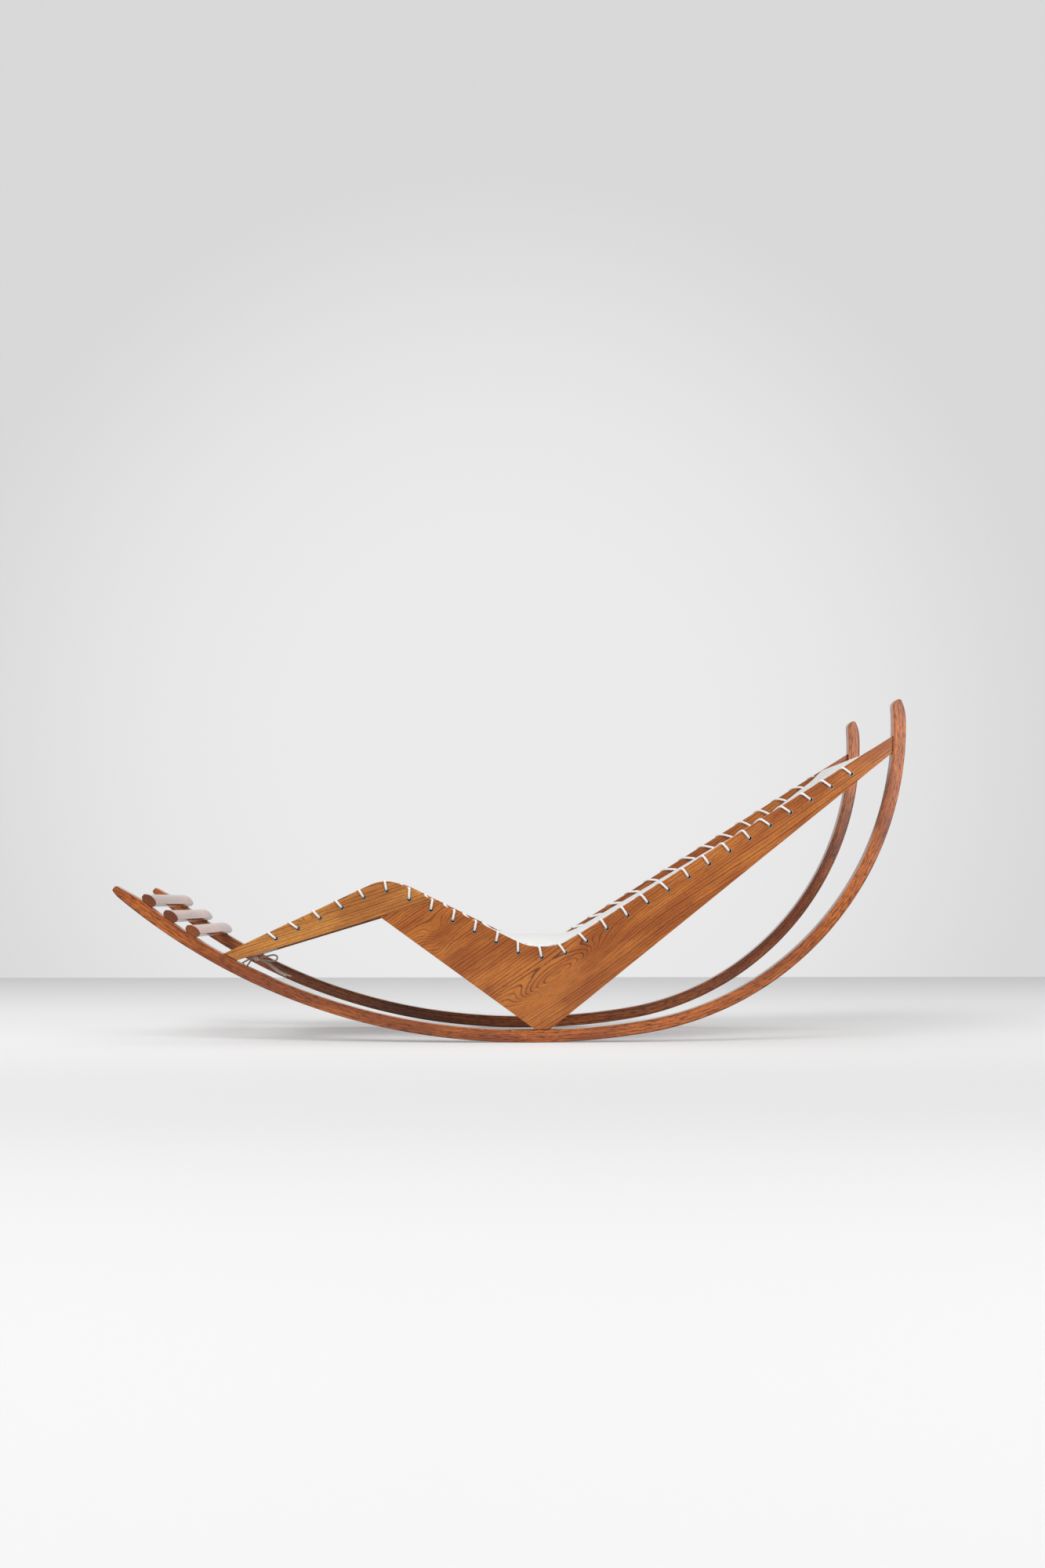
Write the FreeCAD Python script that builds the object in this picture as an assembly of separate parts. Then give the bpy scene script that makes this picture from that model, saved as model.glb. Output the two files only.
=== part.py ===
"""Rocking chaise lounge: two bent rockers, two zigzag side panels and a laced canvas sling.

Millimetres. +X points to the head, -Y to the sitter's left, +Z up. While it is modelled, the origin is
where the rockers touch the floor; at the end everything is moved so that it lies under the middle.
"""
import FreeCAD
import Part
import math
import os

# Overall

overall_width = 620.0

# Rockers: three tangent arcs on the convex face, angles from the vertical

rocker_width = 40.0
rocker_depth = 33.0
sole_radius = 1903.0
sole_angle_foot = 7.5
sole_angle_head = 9.5
foot_radius = 1645.0
foot_angle = 33.3
head_radius = 825.0
head_angle = 85.8
foot_nose_length = 75.0
head_nose_length = 55.0
nose_convex_draw = 10.5
nose_concave_draw = 3.0
nose_middle_share = 0.3
nose_rounding = 6.0
rocker_arris = 2.4

# Side panels

panel_thickness = 20.0
panel_inset = 5.0
knee_x = -382.5
knee_z = 439.0
seat_x = 40.0
seat_z = 232.0
leg_slope = 25.2
back_slope = 32.2
knee_radius = 97.0
seat_radius = 150.0
leg_lower_slope = 16.9
inner_knee_x = -399.0
inner_knee_z = 334.0
back_lower_slope = 38.9
seat_tip_centre = 33.0
seat_tip_width = 36.0
panel_overrun = 60.0
glue_gap = 0.1

# Eyelets in the panels

eyelet_count = 28
eyelet_pitch = 64.3
knee_eyelet = 5
knee_eyelet_past_bend = 5.0
eyelet_depth_leg = 22.5
eyelet_depth_thigh = 25.0
eyelet_depth_back = 26.5
eyelet_flange = 13.0
eyelet_bore = 9.4
eyelet_wall = 0.5
eyelet_flange_thickness = 0.9
eyelet_length = 7.0
eyelet_sides = 8

# Rails between the panels

foot_rail_diameter = 26.0
foot_rail_from_end = 62.0
foot_rail_depth = 19.0
knee_rail_diameter = 25.0
knee_rail_depth = 24.5
seat_rail_diameter = 35.0
seat_rail_height = 115.0
head_rail_diameter = 30.0
head_rail_from_end = 95.7
head_rail_depth = 19.0
tenon_length = 12.0
tenon_share = 0.6
fit_gap = 0.1

# Footrest bars: a flat underside, bevels up to upright sides and a crowned top

bar_count = 3
bar_width = 42.0
bar_thickness = 24.0
bar_pitch = 72.4
first_bar_from_end = 94.5
bar_inset = 5.0
bar_flat = 26.5
bar_edge_height = 7.0
bar_shoulder_height = 16.3

# Canvas

canvas_thickness = 2.0
canvas_side_gap = 8.0
canvas_rail_gap = 0.3
canvas_wrap_angle = 250.0
canvas_hole_from_edge = 13.0
canvas_hole = 8.6
canvas_leg_drop = 25.0
canvas_leg_station = 1
canvas_seat_ahead = 11.5
canvas_seat_rise = 3.5
canvas_seat_radius = 270.0
canvas_back_drop = 19.0
canvas_back_station = 21
canvas_low_drop = 28.0
canvas_low_station = 24
canvas_back_radius = 600.0

# Cords

cord_diameter = 6.4
cord_gap = 0.4
cord_sides = 6
strand_lean = 11.0
strand_over = 8.0
strand_ease = 1.6
canvas_hole_shift = 16.0
corner_cut = 2.5
knot_diameter = 12.0
knot_length = 7.0
knot_gap = 0.3
bow_knot_x = -733.0
bow_knot_z = 221.0
bow_knot_from_panel = 35.0
bow_knot_length = 20.0
bow_knot_thickness = 15.0
bow_knot_rounding = 4.0
bow_cord_diameter = 4.4
bow_cord_gap = 0.4
bow_strand_offset = 2.6
bow_loop_width = 14.0
bow_strand_splay = 14.0
bow_loop_bend = 60.0
bow_loop_end = 6.5
bow_head_slope = 4.0
bow_head_length = 45.0
bow_foot_slope = 40.0
bow_foot_length = 42.0
bow_tail_spread = 5.0
bow_tail_bend = 16.0
bow_tail_long = ((14.0, -8.0), (58.0, -38.0), (24.0, -17.0))
bow_tail_short = ((12.0, -10.0), (52.0, -41.0), (20.0, -21.0))

# Dowels and screws

dowel_diameter = 8.0
knee_dowel_length = 50.0
knee_dowel_places = (0.3, 0.8)
panel_dowel_into_rocker = 16.0
panel_dowel_into_panel = 34.0
seat_dowel_spread = 18.0
screw_diameter = 5.0
screw_head = 10.0
screw_tip = 0.5
screw_length = 44.0
end_gap = 0.5


def at(x, z, y=0.0):
    return FreeCAD.Vector(x, y, z)


def direction(angle):
    """Unit vector in the X-Z plane at an angle in degrees above +X."""
    return at(math.cos(math.radians(angle)), math.sin(math.radians(angle)))


def upward(tangent):
    """The tangent turned a quarter turn, which points up from an edge that runs towards the head."""
    return at(-tangent.z, tangent.x)


# Paths in the X-Z plane


def crossing(a, angle_a, b, angle_b):
    """Where the line through a meets the line through b."""
    u = direction(angle_a)
    w = direction(angle_b)
    d = b - a
    t = (d.x * w.z - d.z * w.x) / (u.x * w.z - u.z * w.x)
    return a + u * t


def angle_between(a, b):
    d = b - a
    return math.degrees(math.atan2(d.z, d.x))


def rounded(points, radii, closed=False):
    """Straight edges through the points, with an arc of the given radius at each corner."""
    n = len(points)
    starts = []
    ends = []
    arcs = []
    for i, p in enumerate(points):
        r = radii[i]
        if r == 0 or (not closed and i in (0, n - 1)):
            starts.append(p)
            ends.append(p)
            arcs.append(None)
            continue
        a = (points[i - 1] - p).normalize()
        b = (points[(i + 1) % n] - p).normalize()
        half = a.getAngle(b) / 2
        back = r / math.tan(half)
        middle = (a + b).normalize() * (r / math.sin(half) - r)
        starts.append(p + a * back)
        ends.append(p + b * back)
        arcs.append(p + middle)
    edges = []
    for i in range(n):
        if arcs[i] is not None:
            edges.append(Part.Arc(starts[i], arcs[i], ends[i]).toShape())
        if i < n - 1 or closed:
            edges.append(Part.LineSegment(ends[i], starts[(i + 1) % n]).toShape())
    return edges


def along(edges, distance):
    """The point and the tangent at a distance along connected edges."""
    for edge in edges:
        if distance <= edge.Length or edge is edges[-1]:
            p = edge.getParameterByLength(distance)
            return edge.valueAt(p), edge.tangentAt(p).normalize()
        distance -= edge.Length


def slab(edges, y_from, y_to):
    """The closed outline as a solid between two Y planes."""
    face = Part.Face(Part.Wire(edges))
    face.translate(at(0, 0, y_from))
    return face.extrude(at(0, 0, y_to - y_from))


def rod(start, end, diameter):
    axis = end - start
    return Part.makeCylinder(diameter / 2, axis.Length, start, axis)


def across(point, y):
    """The point moved square to the X-Z plane, to a given Y."""
    return at(point.x, point.z, y)


def mirrored(shape):
    return shape.mirror(at(0, 0), at(0, 0, 1))


# Rockers


def on_rocker(heading, inward=0.0):
    """A point of the rocker, by the heading of its sole in degrees and the depth inside its convex face."""
    h = math.radians(heading)
    h0 = -math.radians(sole_angle_foot)
    h1 = math.radians(sole_angle_head)
    centre = at(0, sole_radius)
    radius = sole_radius
    if h > h1:
        centre = centre + at(math.sin(h1), -math.cos(h1)) * (sole_radius - head_radius)
        radius = head_radius
    if h < h0:
        centre = centre + at(math.sin(h0), -math.cos(h0)) * (sole_radius - foot_radius)
        radius = foot_radius
    return centre + at(math.sin(h), -math.cos(h)) * (radius - inward)


def rocker_inward(heading):
    return at(-math.sin(math.radians(heading)), math.cos(math.radians(heading)))


foot_end = -sole_angle_foot - foot_angle
head_end = sole_angle_head + head_angle
foot_nose = math.degrees(foot_nose_length / foot_radius)
head_nose = math.degrees(head_nose_length / head_radius)


def rocker_arcs(first, last, inward):
    """The arcs of the rocker at one depth, between two headings."""
    stops = [h for h in (-sole_angle_foot, sole_angle_head) if first < h < last]
    headings = [first] + stops + [last]
    arcs = []
    for a, b in zip(headings, headings[1:]):
        middle = (a + b) / 2
        arc = Part.Arc(on_rocker(a, inward), on_rocker(middle, inward), on_rocker(b, inward))
        arcs.append(arc.toShape())
    return arcs


def nose(end, nose_angle):
    """Three edges that draw the rocker in to its blunt end, from the convex to the concave face."""
    middle = end + nose_angle / 2
    start = end + nose_angle
    convex_tip = on_rocker(end, nose_convex_draw)
    convex_middle = on_rocker(middle, nose_convex_draw * nose_middle_share)
    concave_tip = on_rocker(end, rocker_depth - nose_concave_draw)
    concave_middle = on_rocker(middle, rocker_depth - nose_concave_draw * nose_middle_share)
    convex = Part.Arc(on_rocker(start), convex_middle, convex_tip)
    concave = Part.Arc(concave_tip, concave_middle, on_rocker(start, rocker_depth))
    return [convex.toShape(), Part.LineSegment(convex_tip, concave_tip).toShape(), concave.toShape()]


def rocker():
    first = foot_end + foot_nose
    last = head_end - head_nose
    edges = rocker_arcs(first, last, 0)
    edges += nose(head_end, -head_nose)
    edges += rocker_arcs(first, last, rocker_depth)
    edges += nose(foot_end, foot_nose)
    outline = Part.sortEdges(edges)[0]
    body = slab(outline, -overall_width / 2, -overall_width / 2 + rocker_width)
    tips = [on_rocker(end, rocker_depth / 2) for end in (foot_end, head_end)]
    nose_edges = []
    for edge in body.Edges:
        box = edge.BoundBox
        from_tip = min(across(edge.Vertexes[0].Point, 0).distanceToPoint(tip) for tip in tips)
        if box.YLength > rocker_width / 2 and from_tip < rocker_depth / 2:
            nose_edges.append(edge)
    body = body.makeFillet(nose_rounding, nose_edges)
    arrises = [edge for edge in body.Edges if edge.BoundBox.YLength < rocker_width / 2]
    return body.makeChamfer(rocker_arris, arrises)


# Side panels


def meets(start, way, wire, reach=2000.0):
    """The first point where a ray from start meets a wire."""
    ray = Part.LineSegment(start, start + way * reach).toShape()
    hits = [v.Point for v in ray.section(wire).Vertexes]
    return min(hits, key=start.distanceToPoint)


panel_outer = -overall_width / 2 + panel_inset
panel_inner = panel_outer + panel_thickness
seat_face = Part.Wire(rocker_arcs(foot_end, head_end, rocker_depth + glue_gap))

knee = at(knee_x, knee_z)
seat = at(seat_x, seat_z)
thigh_slope = angle_between(knee, seat)
inner_knee = at(inner_knee_x, inner_knee_z)
knee_joint_top = crossing(knee, thigh_slope, inner_knee, leg_lower_slope)
tip_foot = at(seat_tip_centre - seat_tip_width / 2, rocker_depth)
tip_head = at(seat_tip_centre + seat_tip_width / 2, rocker_depth)
foot_upper = meets(knee, direction(180 + leg_slope), seat_face)
foot_lower = meets(inner_knee, direction(180 + leg_lower_slope), seat_face)
head_upper = meets(seat, direction(back_slope), seat_face)
back_lower_way = direction(back_lower_slope)
head_lower = meets(tip_head + back_lower_way * panel_overrun, back_lower_way, seat_face)


def inner_space():
    """Everything on the concave side of the rockers, which trims the panels to their seats."""
    ends = [on_rocker(end, rocker_depth + glue_gap) for end in (head_end, foot_end)]
    outline = Part.sortEdges(seat_face.Edges + [Part.LineSegment(*ends).toShape()])[0]
    return slab(outline, panel_outer, panel_inner)


def past(point, angle):
    """A point beyond the rocker, so that the trimmed end follows its concave face."""
    return point + direction(angle) * panel_overrun


def leg_board():
    points = [
        past(foot_upper, 180 + leg_slope),
        knee,
        knee_joint_top,
        past(foot_lower, 180 + leg_lower_slope),
    ]
    edges = rounded(points, [0, knee_radius, 0, 0], closed=True)
    return slab(edges, panel_outer, panel_inner).common(inner_space())


def back_board():
    points = [
        knee_joint_top,
        seat,
        past(head_upper, back_slope),
        past(head_lower, back_lower_slope),
        tip_head,
        tip_head - at(0, rocker_depth / 2),
        tip_foot - at(0, rocker_depth / 2),
        tip_foot,
        inner_knee,
    ]
    edges = rounded(points, [0, seat_radius] + [0] * 7, closed=True)
    return slab(edges, panel_outer, panel_inner).common(inner_space())


# Eyelets: a line at its own depth below each straight edge, with an even pitch from the knee both ways


def below(point, angle, depth):
    return point - upward(direction(angle)) * depth


def eyelet_line():
    leg = below(knee, leg_slope, eyelet_depth_leg)
    thigh = below(knee, thigh_slope, eyelet_depth_thigh)
    back = below(seat, back_slope, eyelet_depth_back)
    turn_knee = crossing(leg, leg_slope, thigh, thigh_slope)
    turn_seat = crossing(thigh, thigh_slope, back, back_slope)
    first = below(foot_upper, leg_slope, eyelet_depth_leg)
    last = below(head_upper, back_slope, eyelet_depth_back)
    radii = [0, knee_radius - eyelet_depth_leg, seat_radius + eyelet_depth_thigh, 0]
    return rounded([first, turn_knee, turn_seat, last], radii)


eyelet_path = eyelet_line()
knee_distance = eyelet_path[0].Length + eyelet_path[1].Length / 2 + knee_eyelet_past_bend


def station(number):
    """The point of the eyelet line at an eyelet's number, also between two of them, and the tangent."""
    return along(eyelet_path, knee_distance + (number - knee_eyelet) * eyelet_pitch)


def top_edge(number):
    """The point of the panel's top edge over a station, its tangent and the way up."""
    point, tangent = station(number)
    corners = [foot_upper, knee, seat, head_upper]
    edge = Part.Wire(rounded(corners, [0, knee_radius, seat_radius, 0]))
    return meets(point, upward(tangent), edge, knee_radius), tangent, upward(tangent)


def ring(outer, inner, start, end):
    """A many-sided tube between two points."""
    axis = end - start
    faces = []
    for diameter in (outer, inner):
        polygon = Part.makeCircle(diameter / 2, start, axis).discretize(eyelet_sides + 1)
        faces.append(Part.Face(Part.makePolygon(polygon)))
    return faces[0].cut(faces[1]).extrude(axis)


def panel_eyelet(centre):
    """A barrel in its hole with a flange on the outer face."""
    face = across(centre, panel_outer)
    flange = ring(eyelet_flange, eyelet_bore, face - at(0, 0, eyelet_flange_thickness), face)
    barrel = ring(eyelet_bore + 2 * eyelet_wall, eyelet_bore, face, face + at(0, 0, eyelet_length))
    return flange.fuse(barrel).removeSplitter()


eyelets = [station(i)[0] for i in range(eyelet_count)]
eyelet_hole = eyelet_bore + 2 * eyelet_wall + 2 * fit_gap


# Rails with turned tenons in blind mortises


foot_rail_centre = below(foot_upper + direction(leg_slope) * foot_rail_from_end, leg_slope, foot_rail_depth)


def under_edge(number, depth):
    point, tangent, up = top_edge(number)
    return point - up * depth


knee_rail_centre = under_edge(knee_eyelet - 0.5, knee_rail_depth)
seat_rail_centre = at(seat_tip_centre, seat_rail_height)
head_rail_end = head_upper - direction(back_slope) * head_rail_from_end
head_rail_centre = below(head_rail_end, back_slope, head_rail_depth)
rails = {
    "foot_rail": (foot_rail_centre, foot_rail_diameter),
    "knee_rail": (knee_rail_centre, knee_rail_diameter),
    "seat_rail": (seat_rail_centre, seat_rail_diameter),
    "head_rail": (head_rail_centre, head_rail_diameter),
}


def rail(centre, diameter):
    tip = panel_inner - tenon_length + end_gap
    body = rod(across(centre, panel_inner + fit_gap), across(centre, -panel_inner - fit_gap), diameter)
    return body.fuse(rod(across(centre, tip), across(centre, -tip), diameter * tenon_share)).removeSplitter()


def mortise(centre, diameter):
    hole = diameter * tenon_share + 2 * fit_gap
    return rod(across(centre, panel_inner - tenon_length), across(centre, panel_inner + end_gap), hole)


# Dowels


panel_middle = (panel_outer + panel_inner) / 2


def dowel(point, way, into_first, into_second, clearance=0.0):
    """A dowel through a point of a joint; with a clearance it is the hole for it, longer at both ends."""
    longer = end_gap if clearance else 0.0
    start = point - way * (into_first + longer)
    end = point + way * (into_second + longer)
    return rod(across(start, panel_middle), across(end, panel_middle), dowel_diameter + 2 * clearance)


def knee_dowels(clearance=0.0):
    way = upward(direction(leg_lower_slope))
    half = knee_dowel_length / 2
    joint = knee_joint_top - inner_knee
    return [dowel(inner_knee + joint * place, way, half, half, clearance) for place in knee_dowel_places]


def panel_dowels(clearance=0.0):
    foot = (foot_upper + foot_lower) / 2
    head = (head_upper + head_lower) / 2
    spread = at(seat_dowel_spread / 2, 0)
    tip = (tip_foot + tip_head) / 2
    foot_way = direction((leg_slope + leg_lower_slope) / 2)
    head_way = direction(180 + (back_slope + back_lower_slope) / 2)
    places = [(foot, foot_way), (tip - spread, at(0, 1)), (tip + spread, at(0, 1)), (head, head_way)]
    return [dowel(p, w, panel_dowel_into_rocker, panel_dowel_into_panel, clearance) for p, w in places]


# Footrest bars across the rockers


def bar_heading(number):
    distance = first_bar_from_end + number * bar_pitch
    return foot_end + math.degrees(distance / foot_radius)


def bar_section(number):
    """The section of a bar on the concave face of the rockers."""
    heading = bar_heading(number)
    up = rocker_inward(heading)
    side = at(up.z, -up.x)
    base = on_rocker(heading, rocker_depth + glue_gap)
    half = bar_width / 2

    def place(sideways, height):
        return base + side * sideways + up * height

    flat = bar_flat / 2
    flat_left = place(-flat, 0)
    flat_right = place(flat, 0)
    left = place(-half, bar_edge_height)
    right = place(half, bar_edge_height)
    left_shoulder = place(-half, bar_shoulder_height)
    right_shoulder = place(half, bar_shoulder_height)
    crown = Part.Arc(left_shoulder, place(0, bar_thickness), right_shoulder)
    return [
        crown.toShape(),
        Part.LineSegment(right_shoulder, right).toShape(),
        Part.LineSegment(right, flat_right).toShape(),
        Part.LineSegment(flat_right, flat_left).toShape(),
        Part.LineSegment(flat_left, left).toShape(),
        Part.LineSegment(left, left_shoulder).toShape(),
    ]


bar_end = -overall_width / 2 + bar_inset


def footrest_bar(number):
    return slab(bar_section(number), bar_end, -bar_end)


def screw(number, clearance=0.0):
    """A countersunk wood screw from the convex face into a bar; with a clearance it is its hole."""
    heading = bar_heading(number)
    up = rocker_inward(heading)
    start = across(on_rocker(heading), -overall_width / 2 + rocker_width / 2)
    cone = (screw_head - screw_diameter) / 2
    radius = screw_diameter / 2 + clearance
    taper = start + up * (screw_length - screw_diameter)
    shank = rod(start, taper + up * clearance, 2 * radius)
    head_cone = Part.makeCone(screw_head / 2 + clearance, radius, cone, start, up)
    point = Part.makeCone(radius, screw_tip, screw_diameter, taper, up)
    return shank.fuse([head_cone, point]).removeSplitter()


# Canvas


def tangent_point(point, centre, radius, side):
    """Where the line from a point touches a circle; side 1 has the circle on the right of the line."""
    gap = centre - point
    angle = angle_between(point, centre)
    lift = math.degrees(math.asin(radius / gap.Length))
    reach = math.sqrt(gap.Length**2 - radius**2)
    return point + direction(angle + side * lift) * reach


def over_rail(before, centre, radius, after):
    """The corner of a sheet that is pulled over a rail from one point to another."""
    a = tangent_point(before, centre, radius, 1)
    b = tangent_point(after, centre, radius, -1)
    return crossing(before, angle_between(before, a), after, angle_between(after, b))


def around(centre, radius, start, sweep):
    """An arc about a rail from a point of its circle, by a sweep in degrees."""
    first = angle_between(centre, start)
    points = [centre + direction(first + sweep * share) * radius for share in (0, 0.5, 1)]
    return Part.Arc(*points).toShape()


def canvas_line(lift=0.0):
    """The underside of the canvas, or a line at a height above it, from pocket to pocket."""
    wrap_foot = foot_rail_diameter / 2 + canvas_rail_gap + lift
    wrap_knee = knee_rail_diameter / 2 + canvas_rail_gap + lift
    wrap_head = head_rail_diameter / 2 + canvas_rail_gap + lift
    leg = under_edge(canvas_leg_station, canvas_leg_drop - lift)
    middle = seat + at(canvas_seat_ahead, canvas_seat_rise + lift)
    back = under_edge(canvas_back_station, canvas_back_drop - lift)
    low = under_edge(canvas_low_station, canvas_low_drop - lift)
    start = tangent_point(leg, foot_rail_centre, wrap_foot, -1)
    end = tangent_point(low, head_rail_centre, wrap_head, 1)
    turn = over_rail(leg, knee_rail_centre, wrap_knee, middle)
    points = [start, leg, turn, middle, back, low, end]
    bend = canvas_back_radius
    radii = [0, bend / 2 - lift, wrap_knee, canvas_seat_radius - lift, bend + lift, bend - lift, 0]
    edges = [around(foot_rail_centre, wrap_foot, start, canvas_wrap_angle)]
    edges += rounded(points, radii)
    edges.append(around(head_rail_centre, wrap_head, end, -canvas_wrap_angle))
    return edges


canvas_edge = panel_inner + canvas_side_gap
canvas_hole_y = canvas_edge + canvas_hole_from_edge
canvas_under = Part.Wire(canvas_line()[1:-1])


def canvas_spot(number):
    """The point of the canvas's underside at a station, and the way up there."""
    point, tangent = station(number)
    up = upward(tangent)
    return meets(point - up * knee_radius, up, canvas_under, 2 * knee_radius), up


def lacing_links(toward):
    """Where the cord passes the canvas: near each eyelet but the first, on the side that it comes from."""
    numbers = range(1, eyelet_count) if toward > 0 else range(eyelet_count - 1)
    shift = canvas_hole_shift / eyelet_pitch
    return [n - toward * shift for n in numbers]


def canvas():
    lower = canvas_line()
    upper = canvas_line(canvas_thickness)
    ends = [
        Part.LineSegment(lower[i].Vertexes[-1].Point, upper[i].Vertexes[-1].Point).toShape()
        for i in (0, -1)
    ]
    outline = Part.sortEdges(lower + upper + ends)[0]
    sheet = slab(outline, canvas_edge, -canvas_edge)
    holes = []
    for toward, y in ((-1, canvas_hole_y), (1, -canvas_hole_y)):
        for number in lacing_links(toward):
            spot, up = canvas_spot(number)
            start = across(spot - up * canvas_thickness, y)
            polygon = Part.makeCircle(canvas_hole / 2, start, up).discretize(cord_sides + 1)
            holes.append(Part.Face(Part.makePolygon(polygon)).extrude(up * canvas_thickness * 3))
    return sheet.cut(holes)


# Lacing: one cord for each side, out of an eyelet, over the top edge, down to the canvas and to the next


def cut_corners(points, numbers):
    """The points again, with those of the given numbers cut off by a short run."""
    result = []
    for i, p in enumerate(points):
        if i not in numbers:
            result.append(p)
            continue
        for neighbour in (points[i - 1], points[i + 1]):
            result.append(p + (neighbour - p).normalize() * corner_cut)
    return result


def faceted_cord(points, diameter, sides):
    """A cord with flat sides through the points, mitred at each of them."""
    ways = [(b - a).normalize() for a, b in zip(points, points[1:])]
    ring = Part.makeCircle(diameter / 2, points[0], ways[0]).discretize(sides + 1)[:-1]
    rings = [ring]
    for i in range(1, len(points)):
        way = ways[i - 1]
        normal = way if i == len(points) - 1 else (way + ways[i]).normalize()
        ring = [q + way * ((points[i] - q).dot(normal) / way.dot(normal)) for q in ring]
        rings.append(ring)
    faces = [Part.Face(Part.makePolygon(end + end[:1])) for end in (rings[0], rings[-1])]
    for a, b in zip(rings, rings[1:]):
        for j in range(sides):
            k = (j + 1) % sides
            faces.append(Part.Face(Part.makePolygon([a[j], a[k], b[k], b[j], a[j]])))
    shell = Part.Shell(faces)
    shell.sewShape()
    solid = Part.Solid(shell)
    if solid.Volume < 0:
        solid.reverse()
    return solid


def least_gap(points, diameter):
    """The least free distance of a cord to itself, on points of its line that are some diameters apart."""
    line = []
    for a, b in zip(points, points[1:]):
        steps = math.ceil((b - a).Length / diameter)
        line += [a + (b - a) * (i / steps) for i in range(steps)]
    apart = 6
    pairs = ((p, q) for i, p in enumerate(line) for q in line[i + apart :])
    return round(min(p.distanceToPoint(q) for p, q in pairs) - diameter, 2)


cord_off = cord_diameter / 2 + cord_gap
strand_outside = panel_outer - eyelet_flange_thickness - cord_off
strand_inside = panel_inner + cord_off


bow_knot_y = panel_inner + bow_knot_from_panel
bow_knot_centre = at(bow_knot_x, bow_knot_z, bow_knot_y)


def bow_knot():
    size = FreeCAD.Vector(bow_knot_length, bow_knot_thickness, bow_knot_thickness)
    block = Part.makeBox(size.x, size.y, size.z, bow_knot_centre - size / 2)
    return block.makeChamfer(bow_knot_rounding, block.Edges)


def over_the_top(number, toward):
    """The two points where the cord turns over the top edge, outside and inside the panel."""
    outer, tangent, up = top_edge(number + toward * strand_lean / eyelet_pitch)
    outer = across(outer + up * cord_off, strand_outside)
    inner, tangent, up = top_edge(number + toward * (strand_lean + strand_over) / eyelet_pitch)
    return outer, across(inner + up * cord_off, strand_inside)


def over_canvas(number):
    """Where the cord's middle passes over the canvas, and the way up."""
    spot, up = canvas_spot(number)
    return spot + up * (canvas_thickness + cord_off + strand_ease), up


def lifted(inner, first, last):
    """The inner point raised until the strand from it to the canvas hole clears the canvas between."""
    end = over_canvas(last)[0]
    start = across(inner, 0)
    way = over_canvas(first)[1]
    lift = 0.0
    for share in (0, 0.2, 0.4, 0.6, 0.8, 0.9):
        needed = over_canvas(first + (last - first) * share)[0]
        short = (needed - start - (end - start) * share).dot(way)
        lift = max(lift, short / (1 - share))
    return inner + way * lift


def lacing(toward):
    """The cord of the left side; it runs towards the head where toward is 1, to the foot where it is -1."""
    numbers = range(eyelet_count)[::toward]
    links = dict(zip(numbers, lacing_links(toward)[::toward]))
    points = []
    cuts = []
    for n in numbers:
        hole = station(n)[0]
        start = panel_inner + knot_gap if n == numbers[0] else strand_inside
        cuts += [len(points) + 1, len(points) + 2, len(points) + 3]
        points.append(across(hole, start))
        points.append(across(hole, strand_outside))
        points += over_the_top(n, toward)
        if n in links:
            further = n + toward * (strand_lean + strand_over) / eyelet_pitch
            points[-1] = lifted(points[-1], further, links[n])
            spot, up = canvas_spot(links[n])
            points.append(across(over_canvas(links[n])[0], canvas_hole_y))
            points.append(across(spot - up * cord_off, canvas_hole_y))
            points.append(across(spot - up * cord_off, strand_inside))
    if toward > 0:
        points.append(lacing_end())
    else:
        beside = at(bow_knot_length / 2, bow_knot_thickness)
        points.append(across(bow_knot_centre + beside, strand_inside))
        end = bow_knot_centre - at(0, 0, bow_knot_thickness / 2 + knot_gap)
        points += [end - at(0, 0, cord_diameter), end]
    points = cut_corners(points, cuts)
    print("least gap of a lacing to itself", least_gap(points, cord_diameter))
    return faceted_cord(points, cord_diameter, cord_sides)


def lacing_end():
    """Where the right cord ends on the inner face, beside the last eyelet."""
    hole, tangent = station(eyelet_count - 1)
    return across(hole + tangent * canvas_hole_shift, panel_inner + knot_diameter / 2 + knot_gap)


def end_knot():
    start = lacing_end()
    way = (start - over_the_top(eyelet_count - 1, 1)[1]).normalize()
    return rod(start + way * knot_gap, start + way * (knot_gap + knot_length), knot_diameter)


def start_knot(number):
    start = across(station(number)[0], panel_inner + knot_gap)
    return rod(start, start + at(0, 0, knot_length), knot_diameter)


# Bow of thin cord under the foot rail


def bow_loop(side, slope, length, y):
    """Two strands that part at the knot and meet in a round end; side 1 is the loop towards the head."""
    way = direction(slope) * side
    up = upward(way) * side
    lean = math.sin(math.radians(slope + bow_strand_splay)) * bow_cord_diameter / 2
    start = across(bow_knot_centre, y) + at(side * (bow_knot_length / 2 + bow_cord_gap + lean), 0)
    strands = []
    for sign in (1, -1):
        offset = up * bow_loop_width / 2 * sign
        first = start + at(0, bow_strand_offset * sign * side)
        strands.append([first, start + way * (length / 2) + offset, start + way * length + offset])
    radii = [0, bow_loop_bend, bow_loop_end, bow_loop_end, bow_loop_bend, 0]
    return rounded(strands[0] + strands[1][::-1], radii)


def bow_tail(y, turns):
    """A loose end: it leaves the knot level, falls and lifts a little at its tip."""
    start = across(bow_knot_centre, y) + at(bow_knot_length / 2 + bow_cord_gap, 0)
    start = start + at(bow_cord_gap, -bow_strand_offset)
    points = [start]
    for distance, slope in turns:
        points.append(points[-1] + direction(slope) * distance)
    return rounded(points, [0] + [bow_tail_bend] * (len(turns) - 1) + [0])


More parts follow.
